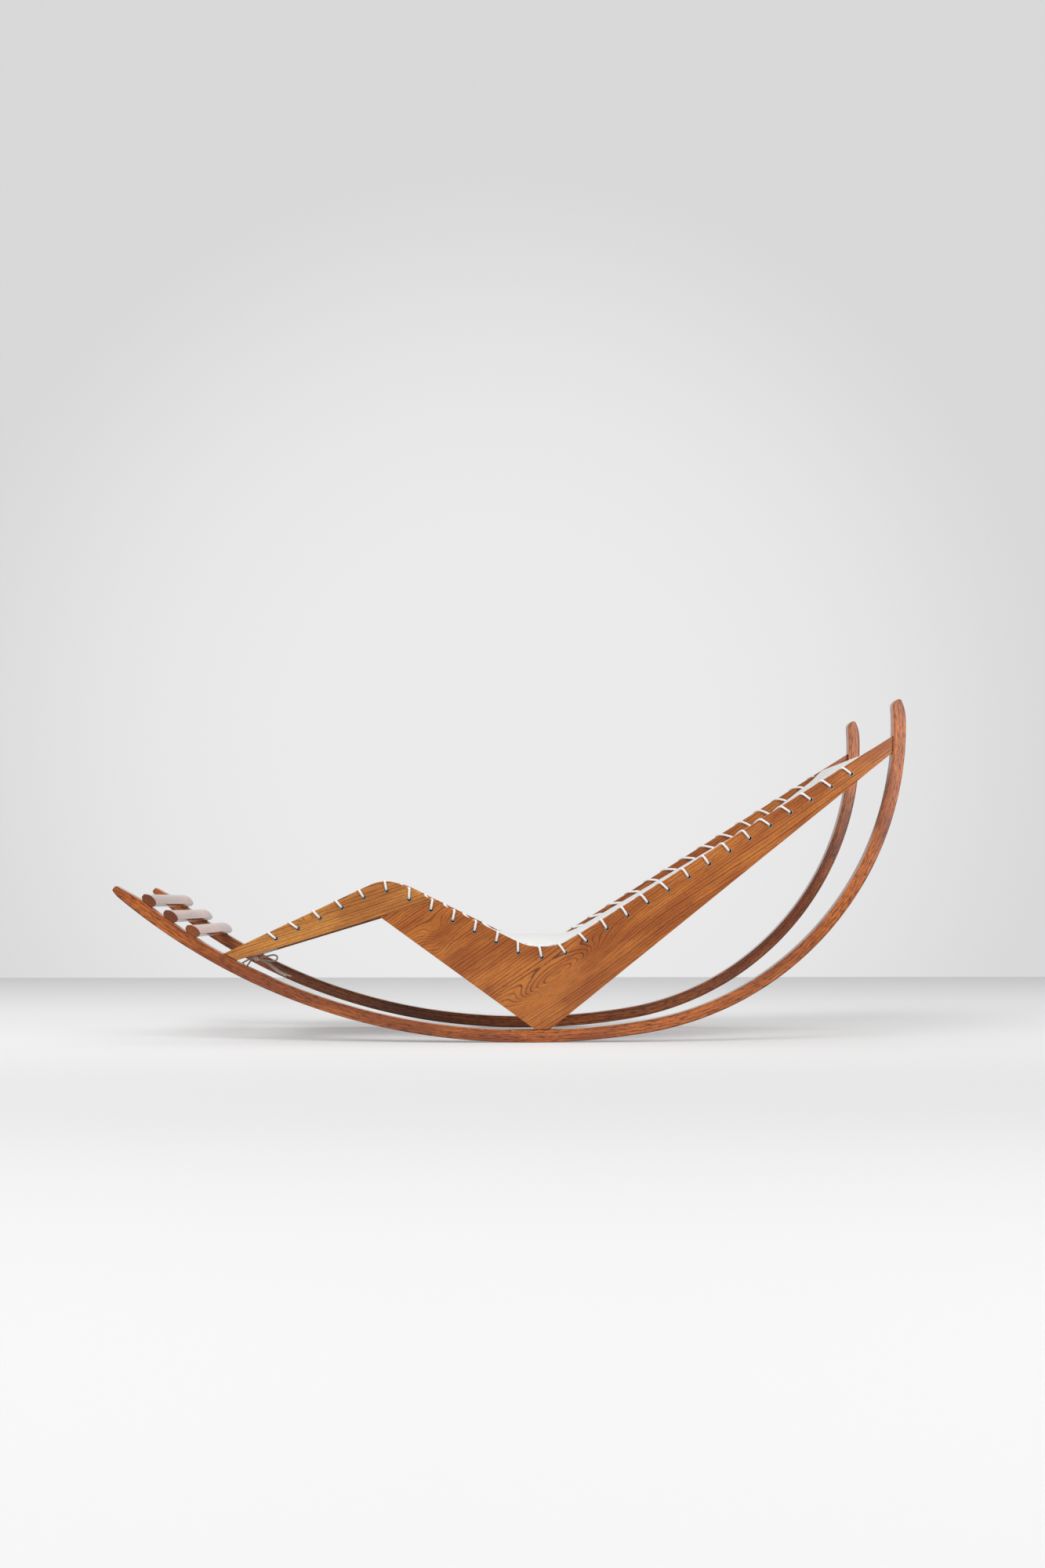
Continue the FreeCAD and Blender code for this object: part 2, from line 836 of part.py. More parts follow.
bow_paths = {
    "bow_loop_head": bow_loop(1, bow_head_slope, bow_head_length, bow_knot_y),
    "bow_loop_foot": bow_loop(-1, bow_foot_slope, bow_foot_length, bow_knot_y),
    "bow_tail_long": bow_tail(bow_knot_y + bow_tail_spread, bow_tail_long),
    "bow_tail_short": bow_tail(bow_knot_y - bow_tail_spread, bow_tail_short),
}


def cord_tube(edges, diameter):
    """A round cord along the edges of a smooth path."""
    path = Part.Wire(edges)
    start, way = along(edges, 0)
    profile = Part.Wire(Part.makeCircle(diameter / 2, start, way))
    tube = path.makePipeShell([profile], True, False)
    ratio = tube.Volume / (math.pi * diameter**2 / 4 * path.Length)
    print("cord length", round(path.Length, 1), "volume over section times length", round(ratio, 3))
    return tube


# Assembly


def build():
    parts = {}
    mortises = [mortise(*rails[name]) for name in rails]
    holes = [rod(across(e, panel_outer - 1), across(e, panel_inner + 1), eyelet_hole) for e in eyelets]
    knee_holes = knee_dowels(fit_gap)
    panel_holes = panel_dowels(fit_gap)
    screws = [screw(i) for i in range(bar_count)]
    screw_holes = [screw(i, fit_gap) for i in range(bar_count)]
    left = {
        "rocker": rocker().cut(panel_holes + screw_holes),
        "leg_board": leg_board().cut(holes + mortises + knee_holes + panel_holes),
        "back_board": back_board().cut(holes + mortises + knee_holes + panel_holes),
        "panel_eyelets": Part.makeCompound([panel_eyelet(e) for e in eyelets]),
        "knee_dowels": Part.makeCompound(knee_dowels()),
        "panel_dowels": Part.makeCompound(panel_dowels()),
        "footrest_screws": Part.makeCompound(screws),
    }
    for name, shape in left.items():
        parts[name + "_left"] = shape
        parts[name + "_right"] = mirrored(shape)
    for name, (centre, diameter) in rails.items():
        parts[name] = rail(centre, diameter)
    screw_holes += [mirrored(hole) for hole in screw_holes]
    for i in range(bar_count):
        parts[f"footrest_bar_{i + 1}"] = footrest_bar(i).cut(screw_holes)
    parts["canvas_sling"] = canvas()
    parts["lacing_left"] = lacing(-1)
    parts["lacing_right"] = mirrored(lacing(1))
    knots = [start_knot(eyelet_count - 1), mirrored(start_knot(0)), mirrored(end_knot())]
    parts["lacing_knots"] = Part.makeCompound(knots)
    parts["bow_knot"] = bow_knot()
    for name, path in bow_paths.items():
        parts[name] = cord_tube(path, bow_cord_diameter)
    return parts


def main():
    os.makedirs("parts", exist_ok=True)
    parts = build()
    rocker_box = parts["rocker_left"].optimalBoundingBox(False)
    middle = (rocker_box.XMin + rocker_box.XMax) / 2
    for name, shape in parts.items():
        shape.translate(at(-middle, 0))
        shape.exportStep(f"parts/{name}.step")
    print("the rockers touch the floor at x =", round(-middle, 1))


if __name__ == "__main__":
    main()
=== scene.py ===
"""The looks of the rocking chaise lounge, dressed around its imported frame. Metres, in the frame's axes."""
import math

import bmesh
import bpy
from mathutils import Matrix, Vector
from mathutils.bvhtree import BVHTree


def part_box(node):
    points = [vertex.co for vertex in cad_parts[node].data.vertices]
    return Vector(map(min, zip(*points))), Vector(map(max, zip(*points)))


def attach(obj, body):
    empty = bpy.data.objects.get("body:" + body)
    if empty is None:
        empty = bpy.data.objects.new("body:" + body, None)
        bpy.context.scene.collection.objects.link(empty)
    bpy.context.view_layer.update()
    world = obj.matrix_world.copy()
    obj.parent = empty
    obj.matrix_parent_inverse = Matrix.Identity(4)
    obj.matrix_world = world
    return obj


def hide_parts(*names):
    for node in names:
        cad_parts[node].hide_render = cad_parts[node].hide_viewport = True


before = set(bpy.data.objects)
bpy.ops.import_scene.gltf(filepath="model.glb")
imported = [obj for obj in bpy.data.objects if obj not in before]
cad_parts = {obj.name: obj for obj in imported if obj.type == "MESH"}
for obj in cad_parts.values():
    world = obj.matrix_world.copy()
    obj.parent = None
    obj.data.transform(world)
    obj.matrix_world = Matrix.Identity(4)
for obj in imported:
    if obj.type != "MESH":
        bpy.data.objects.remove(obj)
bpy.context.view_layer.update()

scene = bpy.context.scene

# Photograph: its height and lens in pixels, and its camera, low and from the sitter's left

image_height = 2000
focal_length_px = 2275
horizon_px = 1152
sensor = 36.0
camera_place = Vector((-0.0855, -5.0415, 0.3703))
camera_yaw = 1.372

# Rockers, as they are bent; a face of a nose by how deep, over what length and by what power it is drawn in

contact_x = 0.0486
rocker_depth = 0.033
sole_radius = 1.903
sole_angle_foot = 7.5
sole_angle_head = 9.5
foot_radius = 1.645
foot_angle = 33.3
head_radius = 0.825
head_angle = 85.8
foot_nose_convex = (0.0050, 0.022, 1.4)
foot_nose_concave = (0.0135, 0.080, 1.25)
head_nose_convex = (0.0105, 0.058, 2.4)
head_nose_concave = (0.0115, 0.017, 2.0)
nose_rounding = 0.004
nose_cuts = (0.0004, 0.0012, 0.0024, 0.0038)
rocker_arris = 0.0030
ring_spacing = 0.012

# Boards

leg_lower_slope = 16.9
inner_knee = Vector((contact_x - 0.399, 0, 0.334))
board_arris = 0.0012
tip_rounding = 0.006
tip_above_rocker = 0.004
rail_hole_reach = 0.014
glue_gap = 0.0001
touching = 0.0005

# Bars and rails

bar_count = 3
bar_pitch = 0.0724
first_bar_from_end = 0.0945
bar_width = 0.042
bar_thickness = 0.024
bar_flat = 0.0265
bar_edge_height = 0.007
bar_shoulder_height = 0.0163
bar_arris = 0.0008
crown_steps = 16
tenon_length = 0.0115
tenon_share = 0.6
rail_ease = 0.001

# Eyelets and grommets; a grommet's half section by radius and height off the middle of the canvas

eyelet_bore = 0.0094
eyelet_flange = 0.013
eyelet_length = 0.007
eyelet_wall = 0.0005
eyelet_rim = 0.0009
eyelet_pitch = 0.0643
grommet_half = ((0.0040, 0.0017), (0.0045, 0.0024), (0.0064, 0.0024), (0.0072, 0.0016))

# Canvas: its crown over the seat, and how its edges are drawn down between the rails

canvas_thickness = 0.002
canvas_hole_shift = 0.016
canvas_hole_from_edge = 0.013
canvas_hem = 0.027
canvas_step = 0.012
canvas_strips = 46
thread_pitch = 0.0011
stitch_pitch = 0.0045
stitches_in_hem = 0.002
seat_bend = 0.080
seat_bend_reach = 0.085
seat_crown = 0.027
seat_edge_pull = 0.012
edge_pull = 0.011
edge_pull_reach = 0.05
rail_reach = 0.06

# Lacing, to the head where toward_head is 1; how far each strand leans up to the top edge, in millimetres

cord_diameter = 0.0064
cord_off = 0.0036
cord_over_edge = 0.0022
cord_inside_edge = -0.0008
cord_tightness = 0.0045
strand_over_foot = 0.005
strand_over_head = 0.016
first_head_strand = 16
strand_rise = 0.0012
strand_leans = (
    12.0, 14.5, 8.5, 7.0, 5.5, 7.0, 11.5, 8.5, 7.5, 8.0, 8.0, 10.0, 7.0, 9.0, 6.5, 1.0,
    1.0, 4.0, 8.0, 2.0, 2.5, 4.5, 5.0, 13.0, 13.0, 12.0, 12.0, 11.5,
)
toward_head = {"left": -1, "right": 1}
ray_start = 0.08
ray_reach = 0.3
lacing_knot_reach = 0.03
lacing_knot_size = 0.0017
lacing_knot_cord = 0.0046

# Bow; a loop's strand by shares of its length and half width, a tail by lengths and slopes

bow_knot = Vector((-0.6844, -0.250, 0.221))
bow_knot_length = 0.020
bow_cord_diameter = 0.0044
bow_cord_gap = 0.0004
bow_wrap_turns = 1.75
bow_wrap_radius = 0.0042
bow_wrap_half = 0.005
bow_strand_splay = 14.0
bow_strand_offset = 0.0026
bow_strand_in_knot = 0.0021
bow_loop_width = 0.014
bow_loop_shape = ((0.4, 0.8), (0.78, 1.3), (1.02, 0.75))
bow_head_slope = 4.0
bow_head_length = 0.045
bow_foot_slope = 40.0
bow_foot_length = 0.042
bow_tail_spread = 0.005
bow_tail_long = ((0.014, -8.0), (0.058, -38.0), (0.024, -17.0))
bow_tail_short = ((0.012, -10.0), (0.052, -41.0), (0.020, -21.0))

# Room: the sweep, its tones as they are seen and lit, and each lamp's place, aim, size and power

floor_half_width = 9.0
floor_half_depth = 6.4
wall_y = 3.85
wall_height = 6.0
floor_far_and_near = (0.84, 0.66)
floor_lit = 0.45
# For the camera and the lacquer, the floor glows more toward the wall, and the wall glows brighter round its
# middle than at its rim: painted light
floor_glow = (0.23, 0.02)
wall_middle = 1.2
wall_glow_middle_and_rim = (0.83, 0.69)
sky_near_and_far = (0.22, 0.85)
lamps = {
    "window": ((-2.2, -4.2, 4.2), (0, 0, 0.3), (3.5, 3), 210),
    "fill": ((3.2, -4.2, 1.8), (0.3, 0, 0.3), (3, 3), 105),
}


# Frame: what the new pieces take from it


def lowest(node):
    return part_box(node)[0]


def highest(node):
    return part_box(node)[1]


# The left side lies at negative Y, and the right one is made from its points with the sign turned
sides = {"left": 1, "right": -1}
canvas_edge = highest("canvas_sling").y
panel_outer = lowest("back_board_left").y
panel_inner = highest("back_board_left").y


def at_y(point, y):
    return Vector((point.x, y, point.z))


def surface(*nodes):
    """A tree of the faces of some CAD nodes, for rays and nearest points."""
    bm = bmesh.new()
    for node in nodes:
        bm.from_mesh(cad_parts[node].data)
    tree = BVHTree.FromBMesh(bm)
    bm.free()
    return tree


def islands(node, reach):
    """The separate solids of a node, none of them longer than a reach, as the middles of their boxes."""
    groups = []
    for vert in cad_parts[node].data.vertices:
        near = [group for group in groups if (group[0] - vert.co).length < reach]
        if near:
            near[0].append(vert.co)
        else:
            groups.append([vert.co])
    middles = []
    for group in groups:
        spans = [(min(axis), max(axis)) for axis in zip(*group)]
        middles.append(Vector([(low + high) / 2 for low, high in spans]))
    return middles


def rail_centre(name):
    low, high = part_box(name)
    return at_y((low + high) / 2, 0)


rails = {name: rail_centre(name) for name in ("foot_rail", "knee_rail", "seat_rail", "head_rail")}
eyelets = [at_y(point, 0) for point in islands("panel_eyelets_left", eyelet_pitch / 2)]
eyelets.sort(key=lambda point: point.x)


def arc_centre(heading):
    """The middle of the arc that the rocker follows where its sole has a heading, in degrees."""
    centre = Vector((contact_x, 0, sole_radius))
    for joint, radius, past in (
        (sole_angle_head, head_radius, heading > sole_angle_head),
        (-sole_angle_foot, foot_radius, heading < -sole_angle_foot),
    ):
        if past:
            h = math.radians(joint)
            centre += Vector((math.sin(h), 0, -math.cos(h))) * (sole_radius - radius)
    return centre


def on_rocker(heading, inward):
    """A point of the rocker's middle plane, by the heading of its sole in degrees and the depth inside it."""
    radius = sole_radius
    if heading > sole_angle_head:
        radius = head_radius
    if heading < -sole_angle_foot:
        radius = foot_radius
    h = math.radians(heading)
    return arc_centre(heading) + Vector((math.sin(h), 0, -math.cos(h))) * (radius - inward)


# Shader maths


def new_node(tree, kind, settings=None, inputs=None):
    """A shader node: its settings first, then the values or links of its inputs, by name or number."""
    node = tree.nodes.new(kind)
    for name, value in (settings or {}).items():
        setattr(node, name, value)
    for name, value in (inputs or {}).items():
        if isinstance(value, Value):
            tree.links.new(value.socket, node.inputs[name])
        else:
            node.inputs[name].default_value = value
    return node


class Value:
    """A socket in a material's maths; Python's operators add the Math nodes."""

    def __init__(self, tree, socket):
        self.tree = tree
        self.socket = socket

    def math(self, operation, *inputs):
        node = new_node(self.tree, "ShaderNodeMath", {"operation": operation}, dict(enumerate(inputs)))
        return Value(self.tree, node.outputs[0])

    def __add__(self, other):
        return self.math("ADD", self, other)

    def __sub__(self, other):
        return self.math("SUBTRACT", self, other)

    def __rsub__(self, other):
        return self.math("SUBTRACT", other, self)

    def __mul__(self, other):
        return self.math("MULTIPLY", self, other)

    def __truediv__(self, other):
        return self.math("DIVIDE", self, other)

    def __pow__(self, other):
        return self.math("POWER", self, other)

    def __neg__(self):
        return self.math("MULTIPLY", self, -1.0)

    __radd__ = __add__
    __rmul__ = __mul__

    def fraction(self):
        return self.math("FRACT", self)

    def absolute(self):
        return self.math("ABSOLUTE", self)

    def exponential(self):
        return self.math("EXPONENT", self)

    def between(self, low, high):
        """A smooth step from 0 to 1 between two values."""
        inputs = {"Value": self, "From Min": low, "From Max": high}
        node = new_node(self.tree, "ShaderNodeMapRange", {"interpolation_type": "SMOOTHSTEP"}, inputs)
        return Value(self.tree, node.outputs["Result"])


class Nodes:
    """Shader nodes being laid out in a tree."""

    def __init__(self, tree):
        self.tree = tree

    def node(self, kind, output, settings=None, inputs=None):
        """One of the outputs of a new node."""
        return Value(self.tree, new_node(self.tree, kind, settings, inputs).outputs[output])

    def parts(self, vector):
        node = new_node(self.tree, "ShaderNodeSeparateXYZ", None, {0: vector})
        return [Value(self.tree, output) for output in node.outputs]

    def mix(self, a, b, factor):
        """Two colours mixed; a plain colour is a tuple."""
        a, b = [colour if isinstance(colour, Value) else (*colour, 1) for colour in (a, b)]
        return self.node("ShaderNodeMix", 2, {"data_type": "RGBA"}, {0: factor, 6: a, 7: b})


class Finish(Nodes):
    """A material being made."""

    def __init__(self, name):
        self.material = bpy.data.materials.new(name)
        self.material.use_nodes = True
        super().__init__(self.material.node_tree)
        self.tree.nodes.clear()
        self.shader = new_node(self.tree, "ShaderNodeBsdfPrincipled")
        surface = Value(self.tree, self.shader.outputs[0])
        new_node(self.tree, "ShaderNodeOutputMaterial", None, {"Surface": surface})

    def set(self, **sockets):
        for name, value in sockets.items():
            socket = self.shader.inputs[name.replace("_", " ")]
            if isinstance(value, Value):
                self.tree.links.new(value.socket, socket)
            else:
                socket.default_value = (*value, 1) if isinstance(value, tuple) else value

    def place(self):
        return self.node("ShaderNodeTexCoord", "Object")

    def attribute(self, name):
        return self.node("ShaderNodeAttribute", "Vector", {"attribute_name": name})

    def mapped(self, vector, location=(0, 0, 0), rotation=(0, 0, 0), scale=(1, 1, 1), kind="POINT"):
        turned = tuple(math.radians(angle) for angle in rotation)
        inputs = {"Vector": vector, "Location": location, "Rotation": turned, "Scale": scale}
        return self.node("ShaderNodeMapping", "Vector", {"vector_type": kind}, inputs)

    def noise(self, vector, scale=1.0, detail=3.0, roughness=0.5):
        inputs = {"Vector": vector, "Scale": scale, "Detail": detail, "Roughness": roughness}
        return self.node("ShaderNodeTexNoise", "Fac", None, inputs)

    def line_noise(self, value, scale, detail):
        """Noise along one value only."""
        inputs = {"W": value, "Scale": scale, "Detail": detail}
        return self.node("ShaderNodeTexNoise", "Fac", {"noise_dimensions": "1D"}, inputs)

    def bump(self, height, distance, strength):
        self.set(Normal=self.node(
            "ShaderNodeBump", "Normal", None, {"Height": height, "Distance": distance, "Strength": strength}
        ))


def srgb(red, green, blue):
    """A colour as it is seen, 0 to 255, in the linear values of a shader."""
    def linear(level):
        level = level / 255
        return level / 12.92 if level <= 0.04045 else ((level + 0.055) / 1.055) ** 2.4
    return tuple(linear(level) for level in (red, green, blue))


def grey(level):
    return (level, level, level)


# Wood: its colours from light to dark, and how fine its marks are along, up across and through the grain


teak = (srgb(202, 120, 48), srgb(170, 90, 30), srgb(88, 40, 14))
leg_teak = (srgb(214, 143, 67), srgb(183, 112, 48), srgb(88, 40, 14))
red_teak = (srgb(204, 112, 46), srgb(156, 78, 30), srgb(70, 28, 11))
slow_waves = (2.0, 7.0, 7.0)
fine_waves = (12.0, 55.0, 55.0)
ring_slant = 0.6
ring_wander = 2.2
fibre_scale = (16.0, 560.0, 560.0)
streak_scale = (26.0, 210.0, 210.0)
cloud_scale = (4.0, 16.0, 16.0)
pore_scale = (110.0, 1100.0, 1100.0)
glue_line_width = (0.0003, 0.0009)
glue_line_length = 0.20
# The painted shadow line where a board stands on its rocker: its width, and the height that parts its arcs
foot_shadow_line_width = (0.0018, 0.0030)
foot_shadow_line_split = 0.20
line_fade = 0.01


def wood_figure(finish, grain, knots, ring_width, wave):
    """The height of the growth rings over the sawn face, in rings; it has closed figures round the knots."""
    along, across, depth = finish.parts(grain)
    slow = finish.noise(finish.mapped(grain, scale=slow_waves), detail=1.0)
    height = across + depth * ring_slant + (slow - 0.5) * wave
    for knot_along, knot_across, length, width, rise in knots:
        u = (along - knot_along) / length
        v = (across - knot_across) / width
        height = height + (-(u * u + v * v)).exponential() * rise
    fine = finish.noise(finish.mapped(grain, scale=fine_waves), detail=3.0)
    rings = (height + (fine - 0.5) * ring_width * 0.6) / ring_width
    return rings + finish.line_noise(rings, 0.21, 1.0) * ring_wander


def wood(
    name, grain_of, colours, ring_width, wave, knots=(), line=0.95, mottle=0.3, streak=1.0, coat=0.8,
    coat_ior=1.36, joint=(), ends=False,
):
    """Lacquered hardwood: thin dark late wood, fibres, pores, short streaks and slow changes of colour.

    Each knot is given by its place along and across the grain, its length, its width and how far it lifts
    the rings. Line and mottle are how strong the late wood and the streaks are, and streak is how fine the
    streaks are. Joint is for a board that stands on its rocker: it brings the dark glue line between the
    boards and a painted shadow line where the board meets the rocker. Ends is for dark end grain.
    Faces that point down get a painted shade.
    """
    finish = Finish(name)
    light, body, dark = colours
    # The darkest tone: pores and the glue line, and also the painted shade and painted shadow line
    deepest_and_shade = tuple(level * 0.4 for level in dark)
    grain = grain_of(finish)
    rings = wood_figure(finish, grain, knots, ring_width, wave)
    weight = 0.35 + finish.line_noise(rings, 0.83, 2.0).between(0.38, 0.60) * 0.65
    phase = rings.fraction()
    late = phase.between(0.60, 0.86) * (1 - phase.between(0.90, 1.0))
    fibres = finish.noise(finish.mapped(grain, scale=fibre_scale), detail=4.0, roughness=0.62)
    finer = tuple(scale * streak for scale in streak_scale)
    streaks = finish.noise(finish.mapped(grain, scale=finer), detail=5.0, roughness=0.68)
    clouds = finish.noise(finish.mapped(grain, scale=cloud_scale), detail=3.0)
    pores = finish.noise(finish.mapped(grain, scale=pore_scale), detail=1.0).between(0.60, 0.70)
    colour = finish.mix(light, body, clouds.between(0.36, 0.60))
    colour = finish.mix(colour, dark, streaks.between(0.46, 0.66) * mottle)
    colour = finish.mix(colour, dark, late * weight * line)
    colour = finish.mix(colour, dark, fibres.between(0.52, 0.78) * 0.35)
    colour = finish.mix(colour, deepest_and_shade, pores * 0.45)
    if joint:
        colour = finish.mix(colour, deepest_and_shade, glue_line(finish) * 0.8)
        # Painted shadow where the board stands on its rocker
        colour = finish.mix(colour, deepest_and_shade, foot_shadow_line(finish, joint) * 0.9)
    normal = finish.parts(finish.node("ShaderNodeNewGeometry", "Normal"))
    if ends:
        colour = finish.mix(colour, dark, normal[1].absolute().between(0.5, 0.9) * 0.55)
    # Painted shade: faces that point down are darkened
    underside_shade = -normal[2]
    colour = finish.mix(colour, deepest_and_shade, underside_shade.between(0.35, 0.9) * 0.7)
    finish.set(
        Base_Color=colour,
        Roughness=0.55 + (fibres - 0.5) * 0.16,
        Specular_IOR_Level=0.25,
        Coat_Weight=coat,
        Coat_Roughness=0.13,
        Coat_IOR=coat_ior,
    )
    finish.bump(fibres * 0.4 - pores * 0.6 - late * 0.2, 0.0002, 0.5)
    return finish.material


def glue_line(finish):
    """The thin dark line where the leg board is glued to the back board; it ends short of the head."""
    x, y, z = finish.parts(finish.place())
    slope = math.radians(leg_lower_slope)
    off = (x - inner_knee.x) * -math.sin(slope) + (z - inner_knee.z) * math.cos(slope)
    end = inner_knee.x + glue_line_length
    return (1 - off.absolute().between(*glue_line_width)) * (1 - x.between(end, end + line_fade))


def foot_shadow_line(finish, arcs):
    """A painted shadow line where a board stands on its rocker, along arcs of a heading, a radius and a part.
    """
    x, y, z = finish.parts(finish.place())
    dark = None
    for heading, radius, part in arcs:
        centre = arc_centre(heading)
        away = ((x - centre.x) ** 2 + (z - centre.z) ** 2) ** 0.5
        near = 1 - (radius - rocker_depth - away).absolute().between(*foot_shadow_line_width)
        if part != "whole":
            high = z.between(foot_shadow_line_split, foot_shadow_line_split + line_fade)
            near = near * (high if part == "high" else 1 - high)
        dark = near if dark is None else dark.math("MAXIMUM", dark, near)
    return dark


def board_grain(slope, place):
    """Grain that runs up a board at a slope; its first axis is along the grain, its second up across it."""
    def grain(finish):
        turned = finish.mapped(finish.place(), location=place, rotation=(0, slope, 0), kind="TEXTURE")
        along, thick, up = finish.parts(turned)
        return finish.node("ShaderNodeCombineXYZ", 0, None, {"X": along, "Y": up, "Z": thick})
    return grain


def stick_grain(finish):
    """Grain along a bent stick, from the place that each point had while the stick was straight."""
    return finish.attribute("grain")


def cross_grain(offset):
    """Grain along a bar or rail that lies across the chaise."""
    def grain(finish):
        return finish.mapped(finish.place(), location=offset, rotation=(0, 0, 90))
    return grain


# Cloth, cord and metal


def canvas_finish():
    """Close plain weave of white cotton."""
    finish = Finish("white_canvas")
    place = finish.place()
    x, y, z = finish.parts(place)
    warp = (y / thread_pitch).fraction() - 0.5
    weft = ((x + z * 0.4) / thread_pitch).fraction() - 0.5
    weave = 0.5 - (warp * warp + weft * weft)
    slubs = finish.noise(finish.mapped(place, scale=(60.0, 900.0, 60.0)), detail=2.0)
    shade = finish.noise(place, scale=9.0, detail=3.0)
    colour = finish.mix(srgb(240, 239, 236), srgb(250, 250, 249), shade)
    colour = finish.mix(colour, srgb(216, 213, 206), slubs.between(0.55, 0.85) * 0.35)
    from_edge = canvas_edge - y.absolute()
    hem = 1 - from_edge.between(canvas_hem - 0.0004, canvas_hem + 0.0004)
    row = 1 - (from_edge - canvas_hem + stitches_in_hem).absolute().between(0.0004, 0.0007)
    stitches = row * ((x + z) / stitch_pitch).fraction().between(0.30, 0.34)
    colour = finish.mix(colour, srgb(206, 203, 196), stitches * 0.8)
    finish.set(Base_Color=colour, Roughness=0.88, Sheen_Weight=0.15, Sheen_Roughness=0.5)
    finish.bump(weave + slubs * 0.4 + hem * 3.0 - stitches * 1.5, 0.0003, 0.5)
    return finish.material


def cord_finish(name, pale, shaded, diameter):
    """Braided cord: strands that cross in two slanted sets round the cord, on its own UV map."""
    finish = Finish(name)
    vector = finish.node("ShaderNodeUVMap", 0, {"uv_map": "cord"})
    along, around, _ = finish.parts(vector)
    strands = 8.0
    pitch = diameter * 1.1
    one = (along / pitch + around * strands).fraction() - 0.5
    other = (along / pitch - around * strands).fraction() - 0.5
    ridges = 0.5 - (one * one + other * other)
    fuzz = finish.noise(finish.place(), scale=900.0, detail=2.0)
    # Painted shade: the grooves between the strands take the shaded colour, and the fuzz darkens the cord a
    # little at random
    colour = finish.mix(shaded, pale, ridges.between(0.05, 0.35))
    colour = finish.mix(colour, shaded, fuzz.between(0.55, 0.8) * 0.4)
    finish.set(Base_Color=colour, Roughness=0.82, Sheen_Weight=0.2)
    finish.bump(ridges + fuzz * 0.3, 0.0004, 0.6)
    return finish.material


def metal_finish(name, colour, roughness, painted_shade_span=()):
    """Plated or plain metal with fine turning marks; between the two faces of the boards it takes a painted
    shade.
    """
    finish = Finish(name)
    place = finish.place()
    dull = finish.noise(place, scale=140.0, detail=3.0)
    marks = finish.noise(finish.mapped(place, scale=(400.0, 30.0, 400.0)), detail=2.0)
    tone = finish.mix(colour, tuple(level * 0.62 for level in colour), dull.between(0.45, 0.8))
    # Painted shade: the metal between the two faces of the boards, in the holes, is made nearly black
    if painted_shade_span:
        outer, inner = painted_shade_span
        across = finish.parts(place)[1].absolute()
        hidden = (outer - across).between(-0.0002, 0.0006) * (across - inner).between(0.0, 0.001)
        tone = finish.mix(tone, (0.012, 0.011, 0.010), hidden)
    finish.set(Base_Color=tone, Metallic=1.0, Roughness=roughness + (dull - 0.5) * 0.2)
    finish.bump(marks, 0.00006, 0.5)
    return finish.material


# Pieces


def add(mesh, name, material, replaced=(), sharp=35.0, flats=False):
    """A finished piece from its mesh, riding on the chaise; with flats, its flat faces are shaded flat."""
    mesh.materials.clear()
    mesh.materials.append(material)
    piece = bpy.data.objects.new(name, mesh)
    scene.collection.objects.link(piece)
    mesh.shade_smooth()
    mesh.set_sharp_from_angle(angle=math.radians(sharp))
    if flats:
        weighted = piece.modifiers.new("flat_faces", "WEIGHTED_NORMAL")
        weighted.weight = 100
        weighted.keep_sharp = True
    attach(piece, "root")
    if replaced:
        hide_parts(*replaced)
    return piece


def mesh_of(bm, name, turn_out=True):
    """The bmesh as a mesh, with its faces turned outwards unless they point that way already."""
    if turn_out:
        bmesh.ops.recalc_face_normals(bm, faces=bm.faces)
    mesh = bpy.data.meshes.new(name)
    bm.to_mesh(mesh)
    bm.free()
    return mesh


def merged_copy(node):
    """A copy of a CAD node's mesh with its triangles joined and its flat faces whole."""
    bm = bmesh.new()
    bm.from_mesh(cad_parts[node].data)
    bmesh.ops.remove_doubles(bm, verts=bm.verts, dist=0.00001)
    bmesh.ops.dissolve_limit(bm, angle_limit=math.radians(0.4), verts=bm.verts, edges=bm.edges)
    return bm


def sharp_edges(bm, angle=40.0):
    return [e for e in bm.edges if len(e.link_faces) == 2 and e.calc_face_angle() > math.radians(angle)]


def middle(edge):
    return (edge.verts[0].co + edge.verts[1].co) / 2


def bevelled(bm, edges, width, segments=3):
    bmesh.ops.bevel(
        bm, geom=edges, offset=width, segments=segments, profile=0.5, affect="EDGES", material=-1,
        clamp_overlap=True,
    )


# Rockers


foot_stretch = foot_radius * math.radians(foot_angle)
sole_stretch = sole_radius * math.radians(sole_angle_foot + sole_angle_head)
head_stretch = head_radius * math.radians(head_angle)
stick_length = foot_stretch + sole_stretch + head_stretch


def heading_at(distance):
    """The heading of the sole at a distance from the foot end along the stick."""
    if distance < foot_stretch:
        return -sole_angle_foot - foot_angle + math.degrees(distance / foot_radius)
    if distance < foot_stretch + sole_stretch:
        return -sole_angle_foot + math.degrees((distance - foot_stretch) / sole_radius)
    return sole_angle_head + math.degrees((distance - foot_stretch - sole_stretch) / head_radius)


def drawn_in(distance, depth, length, power):
    """How far a face of the rocker is drawn in at a distance from its end."""
    return depth * max(0.0, 1 - distance / length) ** power


